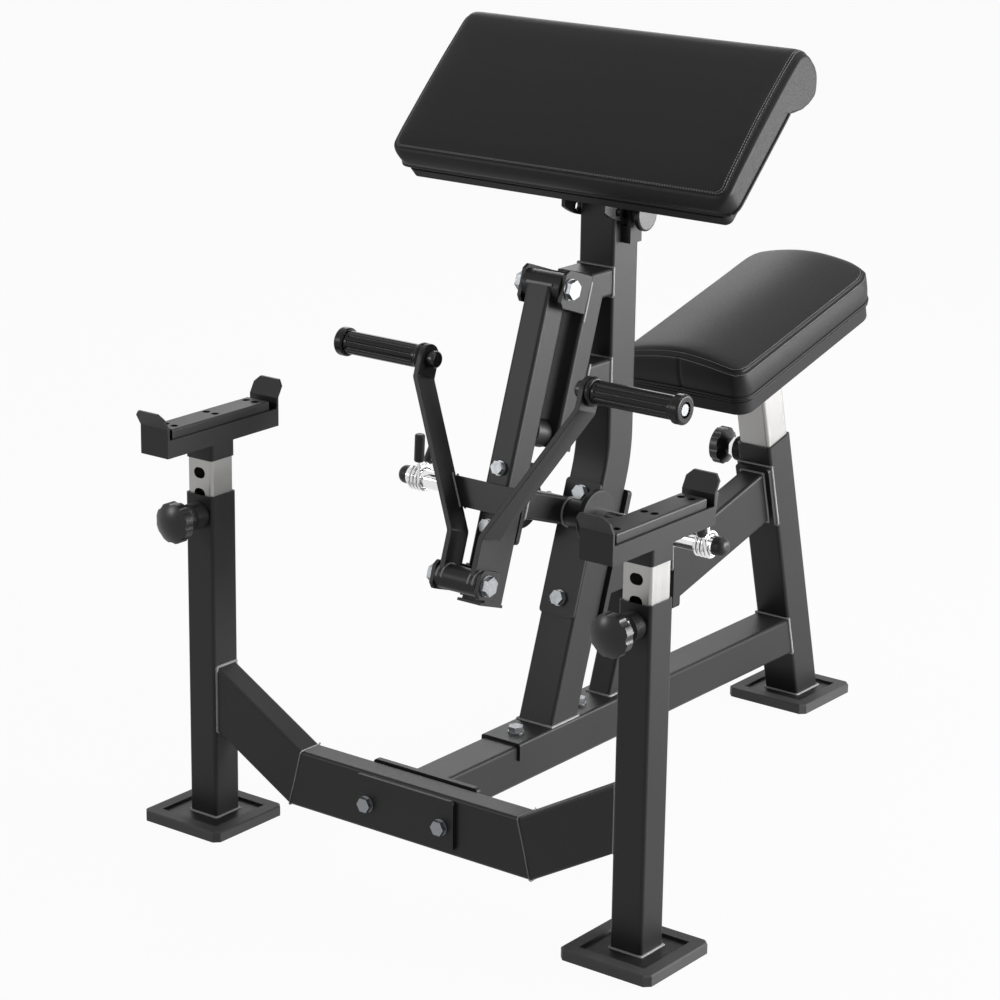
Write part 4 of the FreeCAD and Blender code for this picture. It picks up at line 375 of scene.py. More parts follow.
def chrome():
    look = bpy.context.scene.bench_looks
    return bright_metal("chrome", look.chrome_colour, 0.05, 300.0)


def zinc():
    look = bpy.context.scene.bench_looks
    return bright_metal("zinc", look.zinc_colour, 0.26, 220.0)


# Mesh helpers

def set_material(piece, material):
    if not piece.material_slots:
        piece.data.materials.append(material)
    for slot in piece.material_slots:
        slot.material = material


def finish_nodes(names, material):
    for name in names:
        set_material(frame["nodes"][name], material)


def new_object(name, mesh):
    piece = bpy.data.objects.new(name, mesh)
    bpy.context.scene.collection.objects.link(piece)
    return piece


def smooth(piece):
    for polygon in piece.data.polygons:
        polygon.use_smooth = True


def merged_copy(name, node):
    """Closed copy of a node's mesh under a new name."""
    mesh = frame["nodes"][node].data.copy()
    work = bmesh.new()
    work.from_mesh(mesh)
    bmesh.ops.remove_doubles(work, verts=work.verts, dist=0.02 * MM)
    work.to_mesh(mesh)
    work.free()
    mesh.materials.clear()
    return new_object(name, mesh)


def break_edges(names):
    """Round off the sharp edges of steel plates by a small bevel."""
    width = bpy.context.scene.bench_sizes.edge_break
    for name in names:
        piece = frame["nodes"][name]
        join = piece.modifiers.new("join", "WELD")
        join.merge_threshold = 0.01 * MM
        bevel = piece.modifiers.new("edge break", "BEVEL")
        bevel.limit_method = "ANGLE"
        bevel.angle_limit = math.radians(40)
        bevel.width = width
        bevel.segments = 2
        bevel.harden_normals = True


def apply_modifiers(piece):
    graph = bpy.context.evaluated_depsgraph_get()
    mesh = bpy.data.meshes.new_from_object(piece.evaluated_get(graph))
    piece.modifiers.clear()
    piece.data = mesh


def coordinates(piece):
    places = np.empty(len(piece.data.vertices) * 3)
    piece.data.vertices.foreach_get("co", places)
    return places.reshape(-1, 3)


def set_coordinates(piece, places):
    piece.data.vertices.foreach_set("co", places.reshape(-1))
    piece.data.update()


def normals(piece):
    directions = np.empty(len(piece.data.vertices) * 3)
    piece.data.vertices.foreach_get("normal", directions)
    return directions.reshape(-1, 3)


def joint(name):
    for entry in frame["joints"]:
        if entry["name"] == name:
            return entry
    raise KeyError(name)


def box_middle(node):
    low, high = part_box(node)
    return (Vector(low) + Vector(high)) / 2


# Places in the bench

def at(x, y, z):
    """Point in millimetres across, behind the front posts and above the floor."""
    return Vector((x, y + POSTS_Y, z)) * MM


ACROSS = Vector((1, 0, 0))
BACK = Vector((0, 1, 0))
UP = Vector((0, 0, 1))


class Slope:
    """Local frame with X across, one direction along the slope and one out of it."""

    def __init__(self, origin, along, out):
        self.origin = origin
        self.along = along
        self.out = out

    def point(self, across, along, out):
        return self.origin + ACROSS * across + self.along * along + self.out * out


def seat_slope():
    """Seat frame from the middle of the deck, to the rear and square to the deck."""
    out = Vector(joint("seat_lift")["axis"]).normalized()
    along = Vector((0, out.z, -out.y))
    return Slope(box_middle("seat_board") + out * (SEAT_BOARD / 2), along, out)


def pad_slope():
    """Pad frame from the lower front corner, up the slope and into the pad."""
    along = Vector((0, math.cos(PAD_TILT), math.sin(PAD_TILT)))
    into = Vector((0, math.sin(PAD_TILT), -math.cos(PAD_TILT)))
    middle = box_middle("pad_board")
    origin = middle - along * PAD_BOARD_MIDDLE - into * (PAD_BAND + PAD_BOARD / 2)
    return Slope(origin, along, into)


def arm_slope():
    """Arm frame about the pivot: along is up the arm, out is to its rear."""
    along = Vector((0, math.sin(ARM_LEAN), math.cos(ARM_LEAN)))
    out = Vector((0, math.cos(ARM_LEAN), -math.sin(ARM_LEAN)))
    return Slope(Vector(joint("arm_swing")["pos_m"]), along, out)


# Upholstery

def evened(piece, values, rounds):
    """Average a value at each point with those of its neighbours."""
    ends = np.empty(len(piece.data.edges) * 2, dtype=np.int32)
    piece.data.edges.foreach_get("vertices", ends)
    first = ends[0::2]
    second = ends[1::2]
    count = len(values)
    share = 1 + np.bincount(first, minlength=count) + np.bincount(second, minlength=count)
    for step in range(rounds):
        around = np.bincount(first, values[second], count) + np.bincount(second, values[first], count)
        values = (values + around) / share
    return values


def inflate(piece):
    """Swell a pad with a short cloth run, and keep the even outward part of its motion up to a cap."""
    start = coordinates(piece)
    directions = normals(piece)
    cloth = piece.modifiers.new("swell", "CLOTH")
    cloth.settings.use_pressure = True
    cloth.settings.uniform_pressure_force = SWELL_PRESSURE
    cloth.settings.tension_stiffness = COVER_STIFFNESS
    cloth.settings.compression_stiffness = COVER_STIFFNESS
    cloth.settings.effector_weights.gravity = 0
    scene = bpy.context.scene
    for step in range(1, SWELL_FRAMES + 1):
        scene.frame_set(step)
    apply_modifiers(piece)
    scene.frame_set(1)
    moved = coordinates(piece) - start
    outward = np.clip(np.sum(moved * directions, axis=1), 0.0, SWELL_CAP)
    outward = evened(piece, outward, 30)
    set_coordinates(piece, start + directions * outward[:, None])


def seat_arch(across):
    """Rise of the seat's top at a distance from its middle, which runs out at both long edges."""
    share = np.clip(2 * across / SEAT_WIDTH, -1.0, 1.0)
    return SEAT_CROWN * (1 - share ** 2) ** 1.5


def arch_seat(piece):
    """Raise the seat in one even arch, from its front edge to its rear."""
    slope = seat_slope()
    tree = surface_of(piece)
    places = coordinates(piece) - np.array(slope.origin)
    across = places[:, 0]
    along = places @ np.array(slope.along)
    out = places @ np.array(slope.out)
    edge = np.maximum(np.abs(across) / SEAT_WIDTH, np.abs(along) / SEAT_LENGTH) * 2
    # Near the edge the top is read a little further in, where the cover is still full
    inward = 1 - 0.05 * np.clip((edge - 0.9) / 0.08, 0.0, 1.0)
    start = 1.0
    tops = np.empty(len(places))
    for index in range(len(places)):
        above = slope.point(across[index] * inward[index], along[index] * inward[index], start)
        hit, normal, face, distance = tree.ray_cast(above, -slope.out)
        tops[index] = start - distance
    raised = out * (SEAT_BAND + seat_arch(across)) / tops
    set_coordinates(piece, coordinates(piece) + np.outer(raised - out, np.array(slope.out)))


def round_pad(piece):
    """Round the lower corners of the pad in the plane of its face."""
    slope = pad_slope()
    places = coordinates(piece)
    offset = places - np.array(slope.origin)
    along = offset @ np.array(slope.along)
    beside = np.maximum(np.abs(offset[:, 0]) - (PAD_HALF_WIDTH - PAD_CORNER), 0.0)
    below = np.maximum(PAD_CORNER - along, 0.0)
    reach = np.maximum(np.hypot(beside, below), PAD_CORNER)
    corner = (beside > 0) & (below > 0)
    share = np.where(corner, 1 - PAD_CORNER / reach, 0.0)
    places[:, 0] -= np.sign(offset[:, 0]) * beside * share
    places += np.outer(below * share, np.array(slope.along))
    set_coordinates(piece, places)


def padded_form(name, node, reshape, voxel):
    """Remeshed, reshaped and slightly smaller copy of a cushion's solid, swollen by a cloth run."""
    piece = merged_copy(name, node)
    remesh = piece.modifiers.new("remesh", "REMESH")
    remesh.mode = "VOXEL"
    remesh.voxel_size = voxel
    apply_modifiers(piece)
    reshape(piece)
    set_coordinates(piece, coordinates(piece) - normals(piece) * COVER_SHRINK)
    inflate(piece)
    soften = piece.modifiers.new("soften", "SMOOTH")
    soften.factor = 0.5
    soften.iterations = 2
    apply_modifiers(piece)
    divide = piece.modifiers.new("divide", "SUBSURF")
    divide.levels = 1
    divide.render_levels = 1
    apply_modifiers(piece)
    return piece


def keep_off(piece, point, out, gap):
    """Press a padded piece flat where it lies on its board."""
    places = coordinates(piece)
    depth = (places - np.array(point)) @ np.array(out)
    low = np.minimum(depth - gap, 0.0)
    set_coordinates(piece, places - np.outer(low, np.array(out)))


def sew_in(piece, paths, depth, width):
    """Draw the surface in along seam paths."""
    places = coordinates(piece)
    directions = normals(piece)
    least = np.full(len(places), 1.0)
    for path in paths:
        for point in path:
            gap = np.linalg.norm(places - np.array(point), axis=1)
            least = np.minimum(least, gap)
    pull = depth * np.exp(-(least / width) ** 2)
    set_coordinates(piece, places - directions * pull[:, None])


def surface_of(piece):
    graph = bpy.context.evaluated_depsgraph_get()
    return BVHTree.FromObject(piece, graph)


def laid_on(tree, path, lift):
    """Path moved onto a surface and lifted off it a little."""
    laid = []
    for point in path:
        place, normal, index, distance = tree.find_nearest(point)
        laid.append(place + normal * lift)
    return laid


def resampled(path, step, closed=False):
    """Even points along a polyline."""
    points = list(path)
    if closed:
        points.append(points[0])
    spaced = [points[0]]
    left = step
    for before, after in zip(points, points[1:]):
        run = (after - before).length
        travelled = left
        while travelled <= run:
            spaced.append(before.lerp(after, travelled / run))
            travelled += step
        left = travelled - run
    return spaced


def path_object(name, paths, closed=False):
    """Wire mesh with one chain of edges for each path."""
    verts = []
    edges = []
    for path in paths:
        first = len(verts)
        verts += [tuple(point) for point in path]
        edges += [(first + index, first + index + 1) for index in range(len(path) - 1)]
        if closed:
            edges.append((len(verts) - 1, first))
    mesh = bpy.data.meshes.new(name)
    mesh.from_pydata(verts, edges, [])
    return new_object(name, mesh)


def seat_loop(inset, height):
    """Seat outline with small front corners and wide rear corners."""
    slope = seat_slope()
    half = SEAT_WIDTH / 2 - inset
    length = SEAT_LENGTH / 2 - inset
    loop = []
    for side_x, side_y, radius, first in (
        (1, 1, SEAT_REAR_RADIUS, 0), (-1, 1, SEAT_REAR_RADIUS, 90),
        (-1, -1, SEAT_FRONT_RADIUS, 180), (1, -1, SEAT_FRONT_RADIUS, 270),
    ):
        centre_x = side_x * (half - radius)
        centre_y = side_y * (length - radius)
        for step in range(CORNER_STEPS + 1):
            angle = math.radians(first + 90 * step / CORNER_STEPS)
            loop.append((centre_x + radius * math.cos(angle), centre_y + radius * math.sin(angle)))
    flat = resampled([Vector((x, y, 0)) for x, y in loop], 3 * MM, closed=True)
    rise = height / SEAT_BAND
    return [slope.point(spot.x, spot.y, height + seat_arch(spot.x) * rise) for spot in flat]


def circle_centre(first, middle, last):
    """Centre of the circle through three points."""
    squares = [x * x + y * y for x, y in (first, middle, last)]
    rises = (middle[1] - last[1], last[1] - first[1], first[1] - middle[1])
    runs = (last[0] - middle[0], first[0] - last[0], middle[0] - first[0])
    spread = 2 * sum(point[0] * rise for point, rise in zip((first, middle, last), rises))
    centre_x = sum(square * rise for square, rise in zip(squares, rises)) / spread
    centre_y = sum(square * run for square, run in zip(squares, runs)) / spread
    return centre_x, centre_y


def turn_between(start, end):
    """Shorter turn from one angle to another."""
    return (end - start + math.pi) % (2 * math.pi) - math.pi


def arc_points(first, middle, last, count):
    """Even points on the circle through three points, as (along, into) pairs."""
    centre_x, centre_y = circle_centre(first, middle, last)
    radius = math.hypot(first[0] - centre_x, first[1] - centre_y)
    start, halfway, end = [math.atan2(y - centre_y, x - centre_x) for x, y in (first, middle, last)]
    turn = turn_between(start, halfway) + turn_between(halfway, end)
    points = []
    for step in range(count + 1):
        angle = start + turn * step / count
        points.append((centre_x + radius * math.cos(angle), centre_y + radius * math.sin(angle)))
    return points


def pad_side_profile():
    """Side outline of the pad from its lower heel, over the face and roll, to the crease."""
    heel_top = (0, PAD_BAND - PAD_HEEL)
    face_start = (PAD_HEEL, 0)
    roll_top = (PAD_ROLL_TOP, PAD_ROLL_MID)
    roll_back = (PAD_ROLL_BACK_AT, PAD_ROLL_BACK)
    profile = [(4 * MM, PAD_BAND - 2 * MM), heel_top]
    profile += arc_points(heel_top, (3.6 * MM, PAD_HEEL), face_start, 6)
    profile += arc_points(face_start, (120 * MM, -6 * MM), PAD_FACE_END, 24)
    profile += arc_points(PAD_FACE_END, (261 * MM, 6 * MM), roll_top, 8)
    profile += arc_points(roll_top, (256 * MM, 70 * MM), roll_back, 8)
    profile += arc_points(roll_back, (207 * MM, 70 * MM), (PAD_CREASE_AT, PAD_BAND), 8)
    return profile


def pad_border(inset):
    """Path from the crease over the roll, down the face, round both lower corners and back up."""
    slope = pad_slope()
    radius = PAD_CORNER - inset
    side = [spot for spot in pad_side_profile()[2:] if spot[0] > PAD_CORNER]
    half = []
    for along, into in reversed(side):
        half.append((PAD_HALF_WIDTH - inset, along, into))
    for step in range(9):
        angle = math.radians(90 * step / 8)
        across = PAD_HALF_WIDTH - PAD_CORNER + radius * math.cos(angle)
        half.append((across, PAD_CORNER - radius * math.sin(angle), 0))
    mirrored = [(-across, along, into) for across, along, into in reversed(half)]
    return [slope.point(*spot) for spot in half + mirrored]


# Repeated pieces from node trees

class Tree:
    """A geometry node tree under construction."""

    def __init__(self, name, inputs):
        self.tree = bpy.data.node_groups.new(name, "GeometryNodeTree")
        self.tree.interface.new_socket("Geometry", in_out="INPUT", socket_type="NodeSocketGeometry")
        for label, kind in inputs:
            self.tree.interface.new_socket(label, in_out="INPUT", socket_type=kind)
        self.tree.interface.new_socket("Geometry", in_out="OUTPUT", socket_type="NodeSocketGeometry")
        self.inlet = self.tree.nodes.new("NodeGroupInput")
        self.outlet = self.tree.nodes.new("NodeGroupOutput")

    def given(self, label):
        return self.inlet.outputs[label]

    def node(self, kind, settings, sockets):
        made = self.tree.nodes.new(kind)
        for key, value in settings.items():
            setattr(made, key, value)
        for key, value in sockets.items():
            if isinstance(value, bpy.types.NodeSocket):
                self.tree.links.new(value, made.inputs[key])
            else:
                made.inputs[key].default_value = value
        return made

    def end(self, geometry):
        real = self.node("GeometryNodeRealizeInstances", {}, {"Geometry": geometry})
        painted = self.node("GeometryNodeSetMaterial", {}, {"Geometry": real.outputs[0],
                                                            "Material": self.given("Material")})
        self.tree.links.new(painted.outputs[0], self.outlet.inputs[0])


def beads_tree():
    """Rounded beads set nose to tail along every chain of edges."""
    name = "beads_along_path"
    if name in bpy.data.node_groups:
        return bpy.data.node_groups[name]
    tree = Tree(name, (("Spacing", "NodeSocketFloat"), ("Bead Size", "NodeSocketVector"),
                       ("Material", "NodeSocketMaterial")))
    curve = tree.node("GeometryNodeMeshToCurve", {}, {"Mesh": tree.given("Geometry")})
    points = tree.node("GeometryNodeCurveToPoints", {"mode": "LENGTH"},
                       {"Curve": curve.outputs[0], "Length": tree.given("Spacing")})
    bead = tree.node("GeometryNodeMeshUVSphere", {}, {"Segments": 8, "Rings": 5, "Radius": 1.0})
    soft = tree.node("GeometryNodeSetShadeSmooth", {}, {"Geometry": bead.outputs["Mesh"]})
    placed = tree.node("GeometryNodeInstanceOnPoints", {}, {
        "Points": points.outputs["Points"], "Instance": soft.outputs[0],
        "Rotation": points.outputs["Rotation"], "Scale": tree.given("Bead Size")})
    tree.end(placed.outputs[0])
    return tree.tree


def piping_tree():
    """Round cord along every chain of edges."""
    name = "cord_along_path"
    if name in bpy.data.node_groups:
        return bpy.data.node_groups[name]
    tree = Tree(name, (("Radius", "NodeSocketFloat"), ("Material", "NodeSocketMaterial")))
    curve = tree.node("GeometryNodeMeshToCurve", {}, {"Mesh": tree.given("Geometry")})
    section = tree.node("GeometryNodeCurvePrimitiveCircle", {}, {"Resolution": 10,
                                                                 "Radius": tree.given("Radius")})
    solid = tree.node("GeometryNodeCurveToMesh", {}, {"Curve": curve.outputs[0],
                                                      "Profile Curve": section.outputs["Curve"],
                                                      "Fill Caps": True})
    soft = tree.node("GeometryNodeSetShadeSmooth", {}, {"Geometry": solid.outputs[0]})
    tree.end(soft.outputs[0])
    return tree.tree


def rings_tree():
    """Thread ridges round a straight line."""
    name = "ridges_on_line"
    if name in bpy.data.node_groups:
        return bpy.data.node_groups[name]
    tree = Tree(name, (("Pitch", "NodeSocketFloat"), ("Ring Radius", "NodeSocketFloat"),
                       ("Ridge Radius", "NodeSocketFloat"), ("Material", "NodeSocketMaterial")))
    curve = tree.node("GeometryNodeMeshToCurve", {}, {"Mesh": tree.given("Geometry")})
    points = tree.node("GeometryNodeCurveToPoints", {"mode": "LENGTH"},
                       {"Curve": curve.outputs[0], "Length": tree.given("Pitch")})
    round_line = tree.node("GeometryNodeCurvePrimitiveCircle", {}, {"Resolution": 36,
                                                                    "Radius": tree.given("Ring Radius")})
    section = tree.node("GeometryNodeCurvePrimitiveCircle", {}, {"Resolution": 6,
                                                                 "Radius": tree.given("Ridge Radius")})
    ridge = tree.node("GeometryNodeCurveToMesh", {}, {"Curve": round_line.outputs["Curve"],
                                                      "Profile Curve": section.outputs["Curve"]})
    soft = tree.node("GeometryNodeSetShadeSmooth", {}, {"Geometry": ridge.outputs[0]})
    placed = tree.node("GeometryNodeInstanceOnPoints", {}, {
        "Points": points.outputs["Points"], "Instance": soft.outputs[0],
        "Rotation": points.outputs["Rotation"]})
    tree.end(placed.outputs[0])
    return tree.tree


def grown(piece, tree, values):
    """Run a node tree on a wire piece and keep the result as its plain mesh."""
    modifier = piece.modifiers.new("grow", "NODES")
    modifier.node_group = tree
    for item in tree.interface.items_tree:
        if item.item_type == "SOCKET" and item.in_out == "INPUT" and item.name in values:
            modifier[item.identifier] = values[item.name]
    apply_modifiers(piece)


def settle(piece, body):
    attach(piece, body)


def stitch_rows(name, paths, body):
    """Sewn stitches along the paths of one body."""
    sizes = bpy.context.scene.bench_sizes
    piece = path_object(name, [resampled(path, 1.5 * MM) for path in paths])
    bead = Vector((STITCH_RADIUS, STITCH_RADIUS, sizes.stitch_length * 0.4))
    grown(piece, beads_tree(), {"Spacing": sizes.stitch_length, "Bead Size": bead,
                                "Material": sewing_thread()})
    settle(piece, body)


def piped_edge(name, paths, body, closed=False):
    """Covered piping along the paths of one body."""
    piece = path_object(name, paths, closed)
    grown(piece, piping_tree(), {"Radius": PIPING_RADIUS, "Material": leatherette()})
    settle(piece, body)


def weld_lines(name, paths, width, body):
    """Rippled weld beads along the joints of one body."""
    step = bpy.context.scene.bench_sizes.weld_step
    piece = path_object(name, paths)
    bead = Vector((width / 2, width / 2, step * 1.15))
    grown(piece, beads_tree(), {"Spacing": step, "Bead Size": bead, "Material": weld_metal()})
    settle(piece, body)


def rectangle(centre, across, up, width, height):
    """Corner-to-corner path in millimetres round a rectangular joint, back to its start."""
    corners = []
    for side_x, side_y in ((1, 1), (-1, 1), (-1, -1), (1, -1), (1, 1)):
        corners.append(centre + across * (side_x * width / 2 * MM) + up * (side_y * height / 2 * MM))
    return corners


def arc(centre, first, second, radius, start, end, count=20):
    """Arc path in millimetres and degrees, from the first direction towards the second."""
    points = []
    for step in range(count + 1):
        angle = math.radians(start + (end - start) * step / count)
        points.append(centre + (first * math.cos(angle) + second * math.sin(angle)) * (radius * MM))
    return points


def frame_welds():
    """Joints of the posts, beams, mast and link, from the sizes of their tubes."""
    mast_up = arm_slope().along
    post_up = seat_slope().out
    paths = []
    for side in (-1, 1):
        post_side = side * (POST_OFFSET - POST_TUBE / 2)
        paths.append(rectangle(at(side * POST_OFFSET, 0, BASE_TOP), ACROSS, BACK, POST_TUBE, POST_TUBE))
        paths.append(rectangle(at(post_side, 0, 188.7), BACK, UP, BRACE_TUBE, 96.5))
        clevis_edge = at(side * FRAME_TUBE / 2, 333.9, 758.5)
        paths.append([clevis_edge + mast_up * (height * MM) for height in (-28, 25)])
    # Distance behind the posts, height, direction up the joint, width and length of each joint
    for behind, height, up, width, length in (
        (962.7, BASE_TOP, BACK, FRAME_TUBE, REAR_POST_CUT),         # rear post on its base plate
        (904.2, BEAM_MIDDLE, post_up, FRAME_TUBE, REAR_POST_CUT),   # main beam on the rear post
        (28, BEAM_MIDDLE, UP, FRAME_TUBE, FRAME_TUBE),              # main beam on its end plate
        (300.6, SADDLE_TOP, BACK, FRAME_TUBE, MAST_CUT),            # mast on the saddle
        (445.6, SADDLE_TOP, BACK, BRACE_TUBE, BRACE_CUT),           # brace on the saddle
        (500, 314, BACK, BRACE_TUBE, BRACE_CUT),                    # brace under the short box
        (564, LINK_MIDDLE, UP, FRAME_TUBE, 48),                     # short box on its joint plate
        (405.2, LINK_MIDDLE, mast_up, FRAME_TUBE, 50.6),            # short box on the mast's rear plate
        (582, 295.2, UP, BRACE_TUBE, 86.8),                         # link beam on its front flange
        (831.1, 359.8, post_up, BRACE_TUBE, 84),                    # link beam on its rear flange
        (840.8, 362.3, post_up, FRAME_TUBE, 100),                   # rear flange on the rear post
        (394, 775, UP, FRAME_TUBE, BRACE_TUBE),                     # upper rail stub on the mast
        (394, 645.6, UP, FRAME_TUBE, BRACE_TUBE),                   # lower rail stub on the mast
        (335.2, 645.6, mast_up, FRAME_TUBE, BRACE_CUT),             # lower rail stub on the rail
        (424, 930.5, BACK, FRAME_TUBE, FRAME_TUBE),                 # head on top of the mast
    ):
        paths.append(rectangle(at(0, behind, height), ACROSS, up, width, length))
    return paths


def mitre_welds():
    """Dressed welds round the two mitres of the front beam."""
    paths = []
    for side in (-1, 1):
        top = at(side * MITRE_TOP[0], 0, MITRE_TOP[1])
        bottom = at(side * MITRE_BOTTOM[0], 0, MITRE_BOTTOM[1])
        middle = (top + bottom) / 2
        along = (top - bottom).normalized()
        paths.append(rectangle(middle, BACK, along, BRACE_TUBE, (top - bottom).length / MM))
    return paths


def on_arm(across, up, back):
    """Point in millimetres across the arm, up it from the pivot and behind it."""
    return arm_slope().point(across * MM, up * MM, back * MM)


def arm_welds():
    """Joints of the curl arm: pivot sleeve, weight axle, stop discs and lower ears."""
    slope = arm_slope()
    paths = [
        [on_arm(-19, 0, -21), on_arm(19, 0, -21)],
        rectangle(on_arm(0, -AXLE_DOWN, 30.5), ACROSS, slope.along, BRACE_TUBE, BRACE_TUBE),
    ]
    for side in (-1, 1):
        disc = on_arm(side * AXLE_HALF, -AXLE_DOWN, AXLE_BACK)
        stub_side = on_arm(side * BRACE_TUBE / 2, -AXLE_DOWN, AXLE_BACK)
        paths.append(arc(disc, slope.out, slope.along, AXLE_RADIUS, 0, 360))
        paths.append(arc(stub_side, slope.out, slope.along, AXLE_RADIUS, 90, 270))
        paths.append([on_arm(side * BRACE_TUBE / 2, height, -22.5) for height in (-435, -395)])
    return paths


def yoke_welds():
    """Joints of the levers with their sleeve and cross piece."""
    slope = arm_slope()
    paths = []
    for side in (-1, 1):
        for lever_face in (22.7, 30.7):
            centre = on_arm(side * lever_face, -YOKE_DOWN, -YOKE_FORWARD)
            paths.append(arc(centre, slope.out, slope.along, YOKE_SLEEVE_RADIUS, 0, 180))
        for crossbar_face in (-38.8, -26.8):
            paths.append([on_arm(side * across, height, crossbar_face)
                          for across, height in ((40.9, -319), (63.6, -279))])
    return paths


def threads():
    """Thread ridges on the collars of the two rest pins and the seat pin."""
    seat_pin = seat_slope().out * (-28 * MM) + at(-FRAME_TUBE / 2, 849.5, 448.5)
    lines = []
    for side in (-1, 1):
        lines.append((at(side * POST_OFFSET, -POST_TUBE / 2, REST_PIN_HEIGHT), -BACK))
    lines.append((seat_pin, -ACROSS))
    paths = [[start + direction * (reach * MM) for reach in THREAD_ENDS] for start, direction in lines]
    piece = path_object("collar_threads", paths)
    grown(piece, rings_tree(), {"Pitch": THREAD_PITCH * MM, "Ring Radius": THREAD_RADIUS * MM,
                                "Ridge Radius": RIDGE_RADIUS * MM, "Material": powder_coat()})
    settle(piece, "frame")


# User settings

class BenchSizes(bpy.types.PropertyGroup):
    """Sizes of the sewn and welded detail."""

    stitch_length: FloatProperty(name="Stitch length", description="Length of one stitch with its gap",
                                 default=4.2 * MM, min=1 * MM, max=12 * MM, subtype="DISTANCE",
                                 unit="LENGTH")
    seam_depth: FloatProperty(name="Seam depth", description="How far a sewn seam draws the cover in",
                              default=2.2 * MM, min=0.0, max=6 * MM, subtype="DISTANCE", unit="LENGTH")
    weld_width: FloatProperty(name="Weld width", description="Width of a weld bead", default=5 * MM,
                              min=1 * MM, max=12 * MM, subtype="DISTANCE", unit="LENGTH")
    weld_step: FloatProperty(name="Weld step", description="Distance from ripple to ripple of a weld",
                             default=2.4 * MM, min=1 * MM, max=8 * MM, subtype="DISTANCE", unit="LENGTH")
    edge_break: FloatProperty(name="Edge break", description="Width of the rounded plate edges",
                              default=0.8 * MM, min=0.0, max=3 * MM, subtype="DISTANCE", unit="LENGTH")


class BenchLooks(bpy.types.PropertyGroup):
    """Colours and grains of the finishes."""

    coat_colour: FloatVectorProperty(name="Powder coat", description="Colour of the frame paint", size=3,
                                     default=(0.013, 0.013, 0.0138), min=0, max=1, subtype="COLOR")
    coat_shine: FloatProperty(name="Coat shine", description="Specular level of the paint", default=0.22,
                              min=0.0, max=1.0)
    coat_grain: FloatProperty(name="Coat grain", description="Dimples of the paint in each metre",
                              default=750.0, min=100.0, max=3000.0)
    leather_colour: FloatVectorProperty(name="Leatherette", description="Colour of the cushions", size=3,
                                        default=(0.012, 0.0118, 0.0126), min=0, max=1, subtype="COLOR")
    leather_shine: FloatProperty(name="Leather shine", description="Specular level of the cushions",
                                 default=0.16, min=0.0, max=1.0)
    leather_grain: FloatProperty(name="Leather grain", description="Pebbles of the grain in each metre",
                                 default=620.0, min=100.0, max=3000.0)
    # The light grey of the thread is partly its own tone and partly painted highlight for the glints on
    # the stitches
    thread_and_glint_colour: FloatVectorProperty(name="Thread", description="Colour of the sewing thread", size=3,
                                       default=(0.2, 0.2, 0.207), min=0, max=1, subtype="COLOR")
    # The light grey of the weld beads is a painted highlight that stands in for the glints on their
    # ripples
    weld_glint_colour: FloatVectorProperty(name="Welds", description="Colour of the bare weld beads", size=3,
                                     default=(0.2, 0.2, 0.205), min=0, max=1, subtype="COLOR")
    rubber_colour: FloatVectorProperty(name="Rubber", description="Colour of the feet", size=3,
                                       default=(0.034, 0.034, 0.035), min=0, max=1, subtype="COLOR")
    knob_colour: FloatVectorProperty(name="Plastics", description="Colour of grips, knobs, caps", size=3,
                                     default=(0.008, 0.008, 0.009), min=0, max=1, subtype="COLOR")
    steel_colour: FloatVectorProperty(name="Brushed steel", description="Colour of inner tubes", size=3,
                                      default=(0.34, 0.337, 0.33), min=0, max=1, subtype="COLOR")
    chrome_colour: FloatVectorProperty(name="Chrome", description="Colour of sleeves and collars", size=3,
                                       default=(0.45, 0.455, 0.465), min=0, max=1, subtype="COLOR")
    zinc_colour: FloatVectorProperty(name="Zinc", description="Colour of the bolts", size=3,
                                     default=(0.22, 0.228, 0.237), min=0, max=1, subtype="COLOR")


# Operators

class BENCH_OT_coat_frame(bpy.types.Operator):
    """Powder coat the steel frame, arm and brackets and break their sharp edges"""

    bl_idname = "bench.coat_frame"
    bl_label = "Coat the frame"

    def execute(self, context):
        finish_nodes(POWDER_COATED, powder_coat())
        break_edges(SHARP_PLATES)
        return {"FINISHED"}


class BENCH_OT_bright_parts(bpy.types.Operator):
    """Finish the brushed tubes, chrome and zinc"""

    bl_idname = "bench.bright_parts"
    bl_label = "Finish the bright metal"

    def execute(self, context):
        up = Vector(joint("seat_lift")["axis"])
        lean = math.atan2(up.y, up.z)
        finish_nodes(("rest_tube_right", "rest_tube_left"), brushed_steel("brushed_upright", 0.0))
        finish_nodes(("seat_tube",), brushed_steel("brushed_leaning", lean))
        finish_nodes(CHROMES, chrome())
        finish_nodes(ZINCS, zinc())
        return {"FINISHED"}


class BENCH_OT_moulded_parts(bpy.types.Operator):
    """Finish rubber, plastic and the covered boards"""

    bl_idname = "bench.moulded_parts"
    bl_label = "Finish rubber and plastic"

    def execute(self, context):
        finish_nodes(RUBBERS, foot_rubber())
        finish_nodes(GRIPS, grip_rubber())
        finish_nodes(SATIN_PLASTICS, satin_plastic())
        finish_nodes(GLOSS_PLASTICS, gloss_plastic())
        finish_nodes(BOARDS, board_cover())
        return {"FINISHED"}


class BENCH_OT_welds(bpy.types.Operator):
    """Run the weld beads round the joints of frame, arm and yoke"""

    bl_idname = "bench.welds"
    bl_label = "Weld the joints"

    def execute(self, context):
        width = context.scene.bench_sizes.weld_width
        weld_lines("frame_weld_beads", frame_welds(), width, "frame")
        weld_lines("mitre_weld_beads", mitre_welds(), width * 0.4, "frame")
        weld_lines("arm_weld_beads", arm_welds(), width, "curl_arm")
        weld_lines("yoke_weld_beads", yoke_welds(), width * 0.8, "handle_yoke")
        return {"FINISHED"}


class BENCH_OT_threads(bpy.types.Operator):
    """Cut the thread ridges of the pin collars"""

    bl_idname = "bench.threads"
    bl_label = "Thread the collars"

    def execute(self, context):
        threads()
        return {"FINISHED"}


